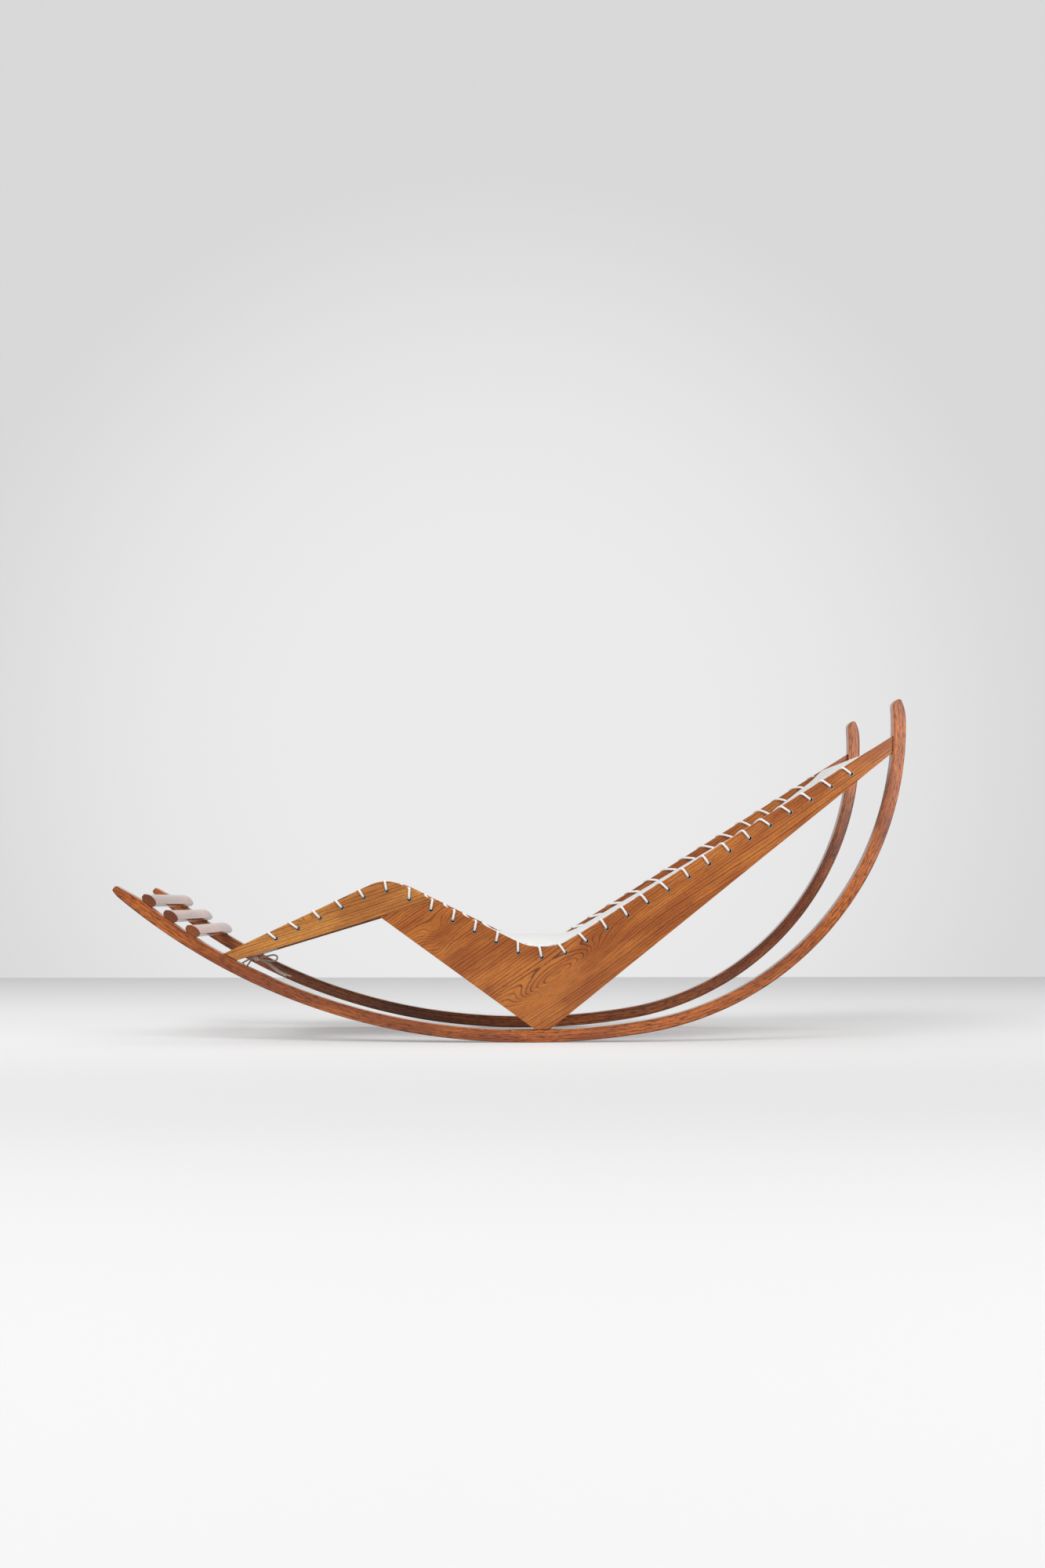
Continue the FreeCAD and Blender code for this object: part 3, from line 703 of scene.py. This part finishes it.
def rocker(side):
    """A straight stick with eased arrises, drawn in to its noses and then bent.

    Its faces point outwards from the start. Recalculated after the bend, they would all turn inwards.
    """
    low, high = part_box(f"rocker_{side}")
    width = high.y - low.y
    bm = bmesh.new()
    bmesh.ops.create_cube(bm, size=1.0)
    bmesh.ops.scale(bm, vec=(stick_length, width, rocker_depth), verts=bm.verts)
    bmesh.ops.translate(bm, vec=(stick_length / 2, 0, rocker_depth / 2), verts=bm.verts)
    lengthwise = [e for e in bm.edges if e.calc_length() > stick_length / 2]
    bevelled(bm, lengthwise, rocker_arris, 4)
    count = round(stick_length / ring_spacing)
    cuts = [stick_length * i / count for i in range(1, count)]
    for distance in nose_cuts:
        cuts += [distance, stick_length - distance]
    for cut in cuts:
        geometry = bm.verts[:] + bm.edges[:] + bm.faces[:]
        bmesh.ops.bisect_plane(bm, geom=geometry, plane_co=(cut, 0, 0), plane_no=(1, 0, 0))
    grain = bm.verts.layers.float_vector.new("grain")
    for vert in bm.verts:
        vert[grain] = vert.co + Vector((0, low.y, 0))
        distance, y, inward = vert.co
        from_head = stick_length - distance
        short = min(max(0.0, nose_rounding - min(distance, from_head)), nose_rounding)
        rounding = nose_rounding - math.sqrt(nose_rounding**2 - short**2)
        convex = drawn_in(distance, *foot_nose_convex) + drawn_in(from_head, *head_nose_convex) + rounding
        drawn = drawn_in(distance, *foot_nose_concave) + drawn_in(from_head, *head_nose_concave)
        concave = rocker_depth - drawn - rounding
        inward = convex + (concave - convex) * inward / rocker_depth
        y = y * (width / 2 - rounding) / (width / 2)
        vert.co = on_rocker(heading_at(distance), inward) + Vector((0, (low.y + high.y) / 2 + y, 0))
    return mesh_of(bm, f"bent_rocker_{side}", turn_out=False)


rocker_wood = wood(
    "rocker_wood", stick_grain, red_teak, ring_width=0.0062, wave=0.010, line=0.8, mottle=0.9, streak=1.7,
    coat=0.85, coat_ior=1.42,
)
for side in sides:
    add(rocker(side), f"bent_rocker_{side}", rocker_wood, [f"rocker_{side}"], flats=True)


# Side panels


def board(node, neighbours):
    """A side board with its arrises eased, apart from its glued joint and its holes."""
    bm = merged_copy(node)
    others = surface(*neighbours)
    holes = [(centre, eyelet_flange) for centre in eyelets]
    holes += [(centre, rail_hole_reach) for centre in rails.values()]
    thickness = panel_inner - panel_outer
    corners = [
        e for e in sharp_edges(bm, 20.0)
        if abs(e.verts[0].co.y - e.verts[1].co.y) > thickness / 2
        and middle(e).z < rocker_depth + tip_above_rocker and middle(e).x < contact_x
    ]
    bevelled(bm, corners, tip_rounding, 4)
    edges = []
    for edge in sharp_edges(bm):
        spot = middle(edge)
        by_hole = any((at_y(spot, 0) - centre).length < reach for centre, reach in holes)
        if not by_hole and others.find_nearest(spot)[3] >= touching:
            edges.append(edge)
    bevelled(bm, edges, board_arris)
    for face in bm.faces:
        face.smooth = abs(face.normal.y) < 0.99
    return mesh_of(bm, node, turn_out=False)


def plank(node, name, neighbours, material):
    """A side board as a finished piece, its two broad faces left flat."""
    mesh = board(node, neighbours)
    flat = [not polygon.use_smooth for polygon in mesh.polygons]
    add(mesh, name, material, [node], flats=True)
    for polygon, is_flat in zip(mesh.polygons, flat):
        polygon.use_smooth = not is_flat


# Where the grain starts that shows its figures on the left side, and how far on it starts on the right
leg_figure = Vector((-0.532, 0.0, 0.324))
back_figure = Vector((0.118, 0.0, 0.191))
leg_knots = ((-0.005, 0.004, 0.022, 0.010, 0.020), (0.16, 0.045, 0.10, 0.020, -0.016))
back_knots = (
    (0.0, -0.014, 0.140, 0.032, 0.092), (-0.198, 0.270, 0.034, 0.026, 0.030),
    (-0.225, 0.222, 0.022, 0.020, 0.014), (0.18, 0.035, 0.035, 0.016, 0.010),
)
right_side_shift = Vector((0.37, 0, 0))
for side in sides:
    shift = right_side_shift if side == "right" else Vector()
    leg_wood = wood(
        f"leg_wood_{side}", board_grain(-18.0, leg_figure - shift), leg_teak, ring_width=0.0085, wave=0.03,
        knots=leg_knots, joint=((-20.0, foot_radius, "whole"),),
    )
    back_wood = wood(
        f"back_wood_{side}", board_grain(-35.0, back_figure + shift), teak, ring_width=0.0078, wave=0.03,
        knots=back_knots, joint=((0.0, sole_radius, "low"), (30.0, head_radius, "high")),
    )
    leg = f"leg_board_{side}"
    back = f"back_board_{side}"
    plank(leg, f"leg_plank_{side}", [back], leg_wood)
    plank(back, f"back_plank_{side}", [leg], back_wood)


# Footrest bars


def footrest_bar(number):
    """A bar across the rockers: flat underside, bevels, upright sides and a crowned top."""
    low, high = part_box(f"footrest_bar_{number + 1}")
    heading = heading_at(first_bar_from_end + number * bar_pitch)
    bm = bmesh.new()
    half = bar_width / 2
    rise = bar_thickness - bar_shoulder_height
    radius = (half**2 + rise**2) / (2 * rise)
    reach = math.asin(half / radius)
    outline = [(bar_flat / 2, 0), (half, bar_edge_height)]
    for i in range(crown_steps + 1):
        angle = reach * (1 - 2 * i / crown_steps)
        outline.append((radius * math.sin(angle), bar_thickness - radius * (1 - math.cos(angle))))
    outline += [(-half, bar_edge_height), (-bar_flat / 2, 0)]
    face = bm.faces.new([bm.verts.new((x, 0, z)) for x, z in outline])
    grown = bmesh.ops.extrude_face_region(bm, geom=[face])
    moved = [g for g in grown["geom"] if isinstance(g, bmesh.types.BMVert)]
    bmesh.ops.translate(bm, vec=(0, high.y - low.y, 0), verts=moved)
    bmesh.ops.recalc_face_normals(bm, faces=bm.faces)
    bevelled(bm, sharp_edges(bm, 25.0), bar_arris)
    base = Matrix.Translation(at_y(on_rocker(heading, rocker_depth + glue_gap), low.y))
    turn = Matrix.Rotation(-math.radians(heading), 4, "Y")
    bmesh.ops.transform(bm, matrix=base @ turn, verts=bm.verts)
    return mesh_of(bm, f"footrest_slat_{number + 1}")


for number in range(bar_count):
    bar_wood = wood(
        f"bar_wood_{number + 1}", cross_grain((0.0, 0.03 * number, 0.2 * number)), red_teak, ring_width=0.005,
        wave=0.02, line=0.5, mottle=0.5, coat=1.0, coat_ior=1.55, ends=True,
    )
    slat = footrest_bar(number)
    name = f"footrest_slat_{number + 1}"
    add(slat, name, bar_wood, [f"footrest_bar_{number + 1}"], flats=True)


# Turned pieces


def turned(profile, steps, centre, axis_turn=None):
    """A closed profile of (radius, height) points spun about an axis along Y through a point."""
    bm = bmesh.new()
    verts = [bm.verts.new((radius, height, 0)) for radius, height in profile]
    edges = [bm.edges.new(pair) for pair in zip(verts, verts[1:] + verts[:1])]
    bmesh.ops.spin(
        bm, geom=verts + edges, cent=(0, 0, 0), axis=(0, 1, 0), angle=2 * math.pi, steps=steps, use_merge=True
    )
    bmesh.ops.remove_doubles(bm, verts=bm.verts, dist=0.000001)
    place = Matrix.Translation(centre)
    if axis_turn is not None:
        place = place @ axis_turn
    bmesh.ops.transform(bm, matrix=place, verts=bm.verts)
    return bm


def rail(name):
    """A turned rail with a tenon at each end and an eased shoulder."""
    low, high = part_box(name)
    radius = (high.x - low.x) / 2
    tenon = radius * tenon_share
    shoulder = high.y - tenon_length
    profile = [(0, -high.y), (tenon, -high.y), (tenon, -shoulder)]
    profile += [(radius - rail_ease, -shoulder), (radius, rail_ease - shoulder)]
    profile += [(r, -y) for r, y in profile[::-1]]
    return mesh_of(turned(profile, 48, rails[name]), name)


for i, name in enumerate(rails):
    rail_wood = wood(
        f"{name}_wood", cross_grain((0.1 * i, 0.0, 0.3 * i)), teak, ring_width=0.006, wave=0.02, line=0.5
    )
    add(rail(name), f"turned_{name}", rail_wood, [name], flats=True)


def eyelet_profile():
    """A rolled eyelet: a rounded rim on the face and a closed barrel in the hole, which the cord fills.
    The disc that closes the barrel stands for the shade in the hole, and its finish paints it dark.
    """
    bore = eyelet_bore / 2
    outer = eyelet_flange / 2
    wall = eyelet_wall
    rim = eyelet_rim
    return [
        (0, eyelet_length - wall), (bore, eyelet_length - wall), (bore, 0.0), (bore + 0.0002, -rim * 0.65),
        (bore + 0.0006, -rim), (outer - 0.0006, -rim), (outer - 0.0002, -rim * 0.6), (outer, -0.0001),
        (outer - 0.0003, 0), (bore + wall, 0.0), (bore + wall, eyelet_length), (0, eyelet_length),
    ]


def joined(meshes, name):
    """One mesh of several, which are used up."""
    bm = bmesh.new()
    for mesh in meshes:
        bm.from_mesh(mesh)
        bpy.data.meshes.remove(mesh)
    return mesh_of(bm, name, turn_out=False)


nickel = metal_finish("nickel_plate", (0.50, 0.47, 0.43), 0.30, (-panel_outer, -panel_inner))
steel = metal_finish("screw_steel", (0.50, 0.50, 0.51), 0.35)
for side, sign in sides.items():
    profile = [(radius, sign * (panel_outer + height)) for radius, height in eyelet_profile()]
    meshes = [mesh_of(turned(profile, 20, centre), "eyelet") for centre in eyelets]
    name = f"rolled_eyelets_{side}"
    add(joined(meshes, name), name, nickel, [f"panel_eyelets_{side}"])


# Canvas


def canvas_line():
    """The underside line of the canvas in one plane, from its foot pocket to its head pocket."""
    bm = merged_copy("canvas_sling")
    geometry = bm.verts[:] + bm.edges[:] + bm.faces[:]
    bmesh.ops.bisect_plane(
        bm, geom=geometry, plane_co=(0, 0, 0), plane_no=(0, 1, 0), clear_inner=True, clear_outer=True
    )
    ends = [e for e in bm.edges if abs(e.calc_length() - canvas_thickness) < canvas_thickness / 10]
    ends.sort(key=lambda e: middle(e).x)
    bmesh.ops.delete(bm, geom=[ends[0], ends[-1]], context="EDGES_FACES")
    todo = [min(bm.verts, key=lambda v: (v.co - rails["foot_rail"]).length)]
    lower = set()
    while todo:
        vert = todo.pop()
        if vert not in lower:
            lower.add(vert)
            todo += [e.other_vert(vert) for e in vert.link_edges]
    bmesh.ops.delete(bm, geom=[v for v in bm.verts if v not in lower], context="VERTS")
    return bm


def pull(spot):
    """How far the canvas is lifted off its flat line across: a crown over the seat, and edges drawn down."""
    near_seat = math.exp(-(((spot.x - seat_bend) / seat_bend_reach) ** 2))
    lift = near_seat * (seat_crown * (1 - (spot.y / canvas_edge) ** 2) - seat_edge_pull)
    if spot.x < rails["knee_rail"].x:
        return lift
    nearest = min(abs(spot.x - rails[name].x) for name in ("knee_rail", "head_rail"))
    off_rail = min(1.0, nearest / rail_reach)
    drawn = edge_pull * (1 - near_seat) * off_rail**2 * (3 - 2 * off_rail)
    return lift - drawn * math.exp(-(canvas_edge - abs(spot.y)) / edge_pull_reach)


def sling():
    """The canvas as one sheet without thickness, its line drawn out across the chaise in strips."""
    bm = canvas_line()
    bm.edges.ensure_lookup_table()
    for edge in bm.edges[:]:
        cuts = int(edge.calc_length() / canvas_step)
        if cuts:
            bmesh.ops.subdivide_edges(bm, edges=[edge], cuts=cuts)
    low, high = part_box("canvas_sling")
    bmesh.ops.translate(bm, vec=(0, low.y, 0), verts=bm.verts)
    line = bm.edges[:]
    step = (high.y - low.y) / canvas_strips
    for i in range(canvas_strips):
        grown = bmesh.ops.extrude_edge_only(bm, edges=line)
        moved = [g for g in grown["geom"] if isinstance(g, bmesh.types.BMVert)]
        line = [g for g in grown["geom"] if isinstance(g, bmesh.types.BMEdge)]
        bmesh.ops.translate(bm, vec=(0, step, 0), verts=moved)
    for vert in bm.verts:
        vert.co.z += pull(vert.co)
    bmesh.ops.recalc_face_normals(bm, faces=bm.faces)
    return bm


sling_mesh = mesh_of(sling(), "canvas_sheet", turn_out=False)
canvas_piece = add(sling_mesh, "canvas_sheet", canvas_finish(), ["canvas_sling"])
facing = sum(p.normal.z * p.area for p in sling_mesh.polygons)
solid = canvas_piece.modifiers.new("thickness", "SOLIDIFY")
solid.thickness = canvas_thickness
solid.offset = 1.0 if facing > 0 else -1.0


# Lacing


def station(number):
    """The point of the eyelet line at a number, also between two eyelets or past the ends, and the way up."""
    last = len(eyelets) - 2
    base = min(max(math.floor(number), 0), last)
    a, b = eyelets[base], eyelets[base + 1]
    point = a + (b - a) * (number - base)
    nearest = min(max(round(number), 0), len(eyelets) - 1)
    before = eyelets[max(nearest - 1, 0)]
    after = eyelets[min(nearest + 1, len(eyelets) - 1)]
    tangent = (after - before).normalized()
    return point, Vector((-tangent.z, 0, tangent.x))


strand_outside = panel_outer - eyelet_rim - cord_off
strand_inside = panel_inner + cord_off
canvas_hole_y = lowest("canvas_sling").y + canvas_hole_from_edge
board_tree = surface("leg_board_left", "back_board_left")
canvas_tree = surface("canvas_sling")


def top_edge(number):
    """The point of the boards' top edge over the eyelet line, in the middle plane, and the way up."""
    point, up = station(number)
    start = at_y(point, (panel_outer + panel_inner) / 2) + up * ray_start
    return at_y(board_tree.ray_cast(start, -up, ray_reach)[0], 0), up


def canvas_spot(number):
    """The point of the canvas's underside at its holes, in the middle plane, and the way up."""
    point, up = station(number)
    hit = canvas_tree.ray_cast(at_y(point, 0) - up * ray_start, up, ray_reach)[0]
    return at_y(hit, 0) + Vector((0, 0, pull(at_y(hit, canvas_hole_y)))), up


def stations(toward):
    """The eyelets' numbers in the order in which a side's cord reaches them."""
    return range(len(eyelets))[::toward]


def hole_after(number, toward):
    """The place of the canvas's hole that the cord passes after an eyelet."""
    return number + toward * (1 - canvas_hole_shift / eyelet_pitch)


def lacing_points(toward):
    """Corners of a side's cord, made for the left side; it runs to the head where toward is 1."""
    numbers = stations(toward)
    points = []
    for n in numbers:
        lean = strand_leans[n] / 1000 / eyelet_pitch
        over = lean + (strand_over_foot if n < first_head_strand else strand_over_head) / eyelet_pitch
        hole, up = station(n)
        pulled = hole + up * strand_rise + Vector((up.z, 0, -up.x)) * toward * strand_rise
        points.append(at_y(pulled, strand_inside))
        points.append(at_y(pulled, strand_outside))
        outer, up = top_edge(n + toward * lean)
        points.append(at_y(outer + up * cord_over_edge, strand_outside))
        inner, up = top_edge(n + toward * over)
        points.append(at_y(inner + up * cord_inside_edge, strand_inside))
        if n != numbers[-1]:
            spot, up = canvas_spot(hole_after(n, toward))
            points.append(at_y(spot + up * (canvas_thickness + cord_off), canvas_hole_y))
            points.append(at_y(spot - up * cord_off, canvas_hole_y))
            points.append(at_y(spot - up * cord_off, strand_inside))
    return points


def cord_curve(name, points, diameter, tight=0.0):
    """A cord on a NURBS line; where it is tight, each corner keeps its place between two near points."""
    largest_share = 0.45
    route = []
    for i, point in enumerate(points):
        if tight and 0 < i < len(points) - 1:
            for neighbour in (points[i - 1], points[i + 1]):
                way = neighbour - point
                route.append(point + way * min(tight / way.length, largest_share))
        else:
            route.append(point)
    data = bpy.data.curves.new(name, "CURVE")
    data.dimensions = "3D"
    spline = data.splines.new("NURBS")
    spline.points.add(len(route) - 1)
    for target, point in zip(spline.points, route):
        target.co = (*point, 1)
    spline.order_u = 3
    spline.use_endpoint_u = True
    data.resolution_u = 6
    data.bevel_depth = diameter / 2
    data.bevel_resolution = 4
    data.use_fill_caps = True
    return bpy.data.objects.new(name, data)


def tube_mesh(curve):
    """The cord as a mesh whose UV map holds the distance along it and the share around it."""
    scene.collection.objects.link(curve)
    bpy.context.view_layer.update()
    shape = curve.evaluated_get(bpy.context.evaluated_depsgraph_get())
    mesh = bpy.data.meshes.new_from_object(shape)
    mesh.name = curve.name
    length = sum(s.calc_length() for s in curve.data.splines)
    mesh.uv_layers[0].name = "cord"
    for corner in mesh.uv_layers[0].data:
        corner.uv = (corner.uv[0] * length, corner.uv[1])
    bpy.data.objects.remove(curve)
    return mesh


def grommet(number, sign):
    """A plain ring clenched on both faces of the canvas at one of the lacing's holes."""
    spot, up = canvas_spot(number)
    hole = at_y(spot, canvas_hole_y)
    step = Vector((0, 0.001, 0))
    slope = (pull(hole + step) - pull(hole - step)) / (2 * step.y)
    normal = (up - Vector((0, slope, 0))).normalized()
    hole.y *= sign
    normal.y *= sign
    turn = Vector((0, 1, 0)).rotation_difference(normal).to_matrix().to_4x4()
    profile = [(radius, canvas_thickness / 2 - height) for radius, height in grommet_half]
    profile += [(radius, canvas_thickness / 2 + height) for radius, height in grommet_half[::-1]]
    return mesh_of(turned(profile, 16, hole, turn), "grommet")


grommets = []
for side, sign in sides.items():
    toward = toward_head[side]
    grommets += [grommet(hole_after(n, toward), sign) for n in stations(toward)[:-1]]
add(joined(grommets, "canvas_grommets"), "canvas_grommets", nickel)


# Each cord's second colour is its painted shade, for the grooves between its strands
lacing_material = cord_finish("white_cord", srgb(250, 250, 249), srgb(205, 203, 198), cord_diameter)
for side, sign in sides.items():
    route = [at_y(point, point.y * sign) for point in lacing_points(toward_head[side])]
    cord = tube_mesh(cord_curve(f"laced_cord_{side}", route, cord_diameter, tight=cord_tightness))
    add(cord, f"laced_cord_{side}", lacing_material, [f"lacing_{side}"], sharp=60.0)


# Bow


def heading_vector(slope):
    return Vector((math.cos(math.radians(slope)), 0, math.sin(math.radians(slope))))


def bow_loop(side, slope, length, y):
    """Corners of a loop: two strands that part at the knot and meet in a round end."""
    way = heading_vector(slope) * side
    up = Vector((-way.z, 0, way.x))
    lean = math.sin(math.radians(slope + bow_strand_splay)) * bow_cord_diameter / 2
    start = at_y(bow_knot, y) + Vector((side * (bow_knot_length / 2 + bow_cord_gap + lean), 0, 0))
    strands = []
    for sign in (1, -1):
        offset = up * bow_loop_width / 2 * sign
        strand = [start + Vector((0, 0, bow_strand_offset * sign * side))]
        strand += [start + way * (length * far) + offset * wide for far, wide in bow_loop_shape]
        strands.append(strand)
    return strands[0] + strands[1][::-1]


def bow_tail(y, turns):
    """Corners of a tail, by the distance and the slope from each to the next."""
    start = at_y(bow_knot, y) + Vector((bow_knot_length / 2 + 2 * bow_cord_gap, 0, -bow_strand_offset))
    points = [start]
    for distance, slope in turns:
        points.append(points[-1] + heading_vector(slope) * distance)
    return points


def wrapped():
    """Points of the strand wound round the knot's long axis."""
    steps = 12
    count = int(bow_wrap_turns * steps)
    points = []
    for i in range(count + 1):
        angle = 2 * math.pi * i / steps
        around = Vector((0, math.cos(angle), math.sin(angle))) * bow_wrap_radius
        points.append(bow_knot + around + Vector((bow_wrap_half * (2 * i / count - 1), 0, 0)))
    return points


def through(sign):
    """Points of a strand that passes through the knot and crosses over on its way."""
    half = bow_knot_length / 2
    off = Vector((0, bow_strand_in_knot * sign, bow_strand_in_knot))
    places = ((-1, 1), (-1 / 3, 0.4), (1 / 3, -0.4), (1, -1))
    return [bow_knot + Vector((half * along, 0, 0)) + off * share for along, share in places]


def overhand(centre, size, diameter):
    """A closed tube in the form of a tight overhand knot, its axis across the chaise."""
    steps = 36
    points = []
    for i in range(steps + 1):
        t = 2 * math.pi * i / steps
        x = math.sin(t) + 2 * math.sin(2 * t)
        z = math.cos(t) - 2 * math.cos(2 * t)
        points.append(centre + Vector((x, -math.sin(3 * t), z)) * size)
    return tube_mesh(cord_curve("overhand", points, diameter))


bow_routes = {
    "bow_loop_head": bow_loop(1, bow_head_slope, bow_head_length, bow_knot.y),
    "bow_loop_foot": bow_loop(-1, bow_foot_slope, bow_foot_length, bow_knot.y),
    "bow_tail_long": bow_tail(bow_knot.y + bow_tail_spread, bow_tail_long),
    "bow_tail_short": bow_tail(bow_knot.y - bow_tail_spread, bow_tail_short),
}
# The second colour is the cord's painted shade, for the grooves between its strands
bow_material = cord_finish("grey_cord", srgb(232, 226, 218), srgb(168, 158, 148), bow_cord_diameter)
for name, route in bow_routes.items():
    piece = cord_curve(f"{name}_cord", route, bow_cord_diameter)
    scene.collection.objects.link(piece)
    piece.data.materials.append(bow_material)
    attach(piece, "root")
    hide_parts(name)
    far_end = "object" if "loop" in name else "bare"


strands = [wrapped(), through(1), through(-1)]
tubes = [tube_mesh(cord_curve("strand", points, bow_cord_diameter)) for points in strands]
add(joined(tubes, "tied_bow_knot"), "tied_bow_knot", bow_material, ["bow_knot"], sharp=60.0)
knots = islands("lacing_knots", lacing_knot_reach)
tubes = [overhand(centre, lacing_knot_size, lacing_knot_cord) for centre in knots]
name = "tied_lacing_knots"
add(joined(tubes, name), name, lacing_material, ["lacing_knots"], sharp=60.0)


# Dowels and screws, which stay as the frame has them


hidden = {"knee_dowels": rail_wood, "panel_dowels": rail_wood, "footrest_screws": steel}
for side in sides:
    for name, material in hidden.items():
        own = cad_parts[f"{name}_{side}"].data.materials
        own.clear()
        own.append(material)


# Stage


def camera():
    data = bpy.data.cameras.new("camera")
    data.sensor_width = sensor
    data.lens = sensor * focal_length_px / image_height
    data.shift_y = (horizon_px - image_height / 2) / image_height
    eye = bpy.data.objects.new("camera", data)
    eye.location = camera_place
    eye.rotation_euler = (math.radians(90), 0, -math.radians(camera_yaw))
    scene.collection.objects.link(eye)
    scene.camera = eye


def backdrop():
    """Pale floor and wall in one sweep; it throws back less light than the camera and the lacquer see."""
    finish = Finish("pale_sweep")
    path = "ShaderNodeLightPath"
    seen = finish.node(path, "Is Camera Ray") + finish.node(path, "Is Glossy Ray")
    x, y, z = finish.parts(finish.place())
    wall = z.between(0.0, 0.001)
    floor_tone = finish.mix(*map(grey, floor_far_and_near), (-y).between(-1.5, 1.5))
    floor_tone = finish.mix(grey(floor_lit), floor_tone, seen)
    up = z - wall_middle
    # Painted light: the wall glows brighter round its middle, and the floor glows more toward the wall
    wall_glow = finish.mix(*map(grey, wall_glow_middle_and_rim), (x * x + up * up).between(0.0, 9.0))
    glow = finish.mix(*map(grey, floor_glow), (-y).between(0.0, 2.2))
    finish.set(
        Base_Color=finish.mix(floor_tone, grey(0), wall * seen),
        Emission_Color=finish.mix(grey(0), finish.mix(glow, wall_glow, wall), seen),
        Emission_Strength=1.0,
        Roughness=0.8,
        Specular_IOR_Level=0.0,
    )
    bm = bmesh.new()
    bmesh.ops.create_grid(bm, x_segments=1, y_segments=1, size=1.0)
    bmesh.ops.scale(bm, vec=(floor_half_width, floor_half_depth, 1), verts=bm.verts)
    bmesh.ops.translate(bm, vec=(0, wall_y - floor_half_depth, 0), verts=bm.verts)
    far = max(bm.edges, key=lambda e: middle(e).y)
    grown = bmesh.ops.extrude_edge_only(bm, edges=[far])
    moved = [g for g in grown["geom"] if isinstance(g, bmesh.types.BMVert)]
    bmesh.ops.translate(bm, vec=(0, 0, wall_height), verts=moved)
    mesh = mesh_of(bm, "sweep", turn_out=False)
    mesh.materials.append(finish.material)
    floor = bpy.data.objects.new("sweep", mesh)
    scene.collection.objects.link(floor)


def daylight():
    """Even daylight, dimmer on the camera's side so that it doesn't veil the upright faces."""
    world = bpy.data.worlds.new("daylight")
    world.use_nodes = True
    sky = Nodes(world.node_tree)
    direction = sky.parts(sky.node("ShaderNodeTexCoord", "Generated"))[1]
    colour = sky.mix(*map(grey, sky_near_and_far), direction.between(-0.5, 0.3))
    background = world.node_tree.nodes["Background"]
    world.node_tree.links.new(colour.socket, background.inputs["Color"])
    scene.world = world


def lamp(name, place, aim, size, power):
    data = bpy.data.lights.new(name, "AREA")
    data.shape = "RECTANGLE"
    data.size, data.size_y = size
    data.energy = power
    light = bpy.data.objects.new(name, data)
    light.location = place
    light.rotation_euler = (Vector(aim) - Vector(place)).to_track_quat("-Z", "Y").to_euler()
    scene.collection.objects.link(light)


camera()
backdrop()
daylight()
for name, values in lamps.items():
    lamp(name, *values)
scene.view_settings.view_transform = "Standard"
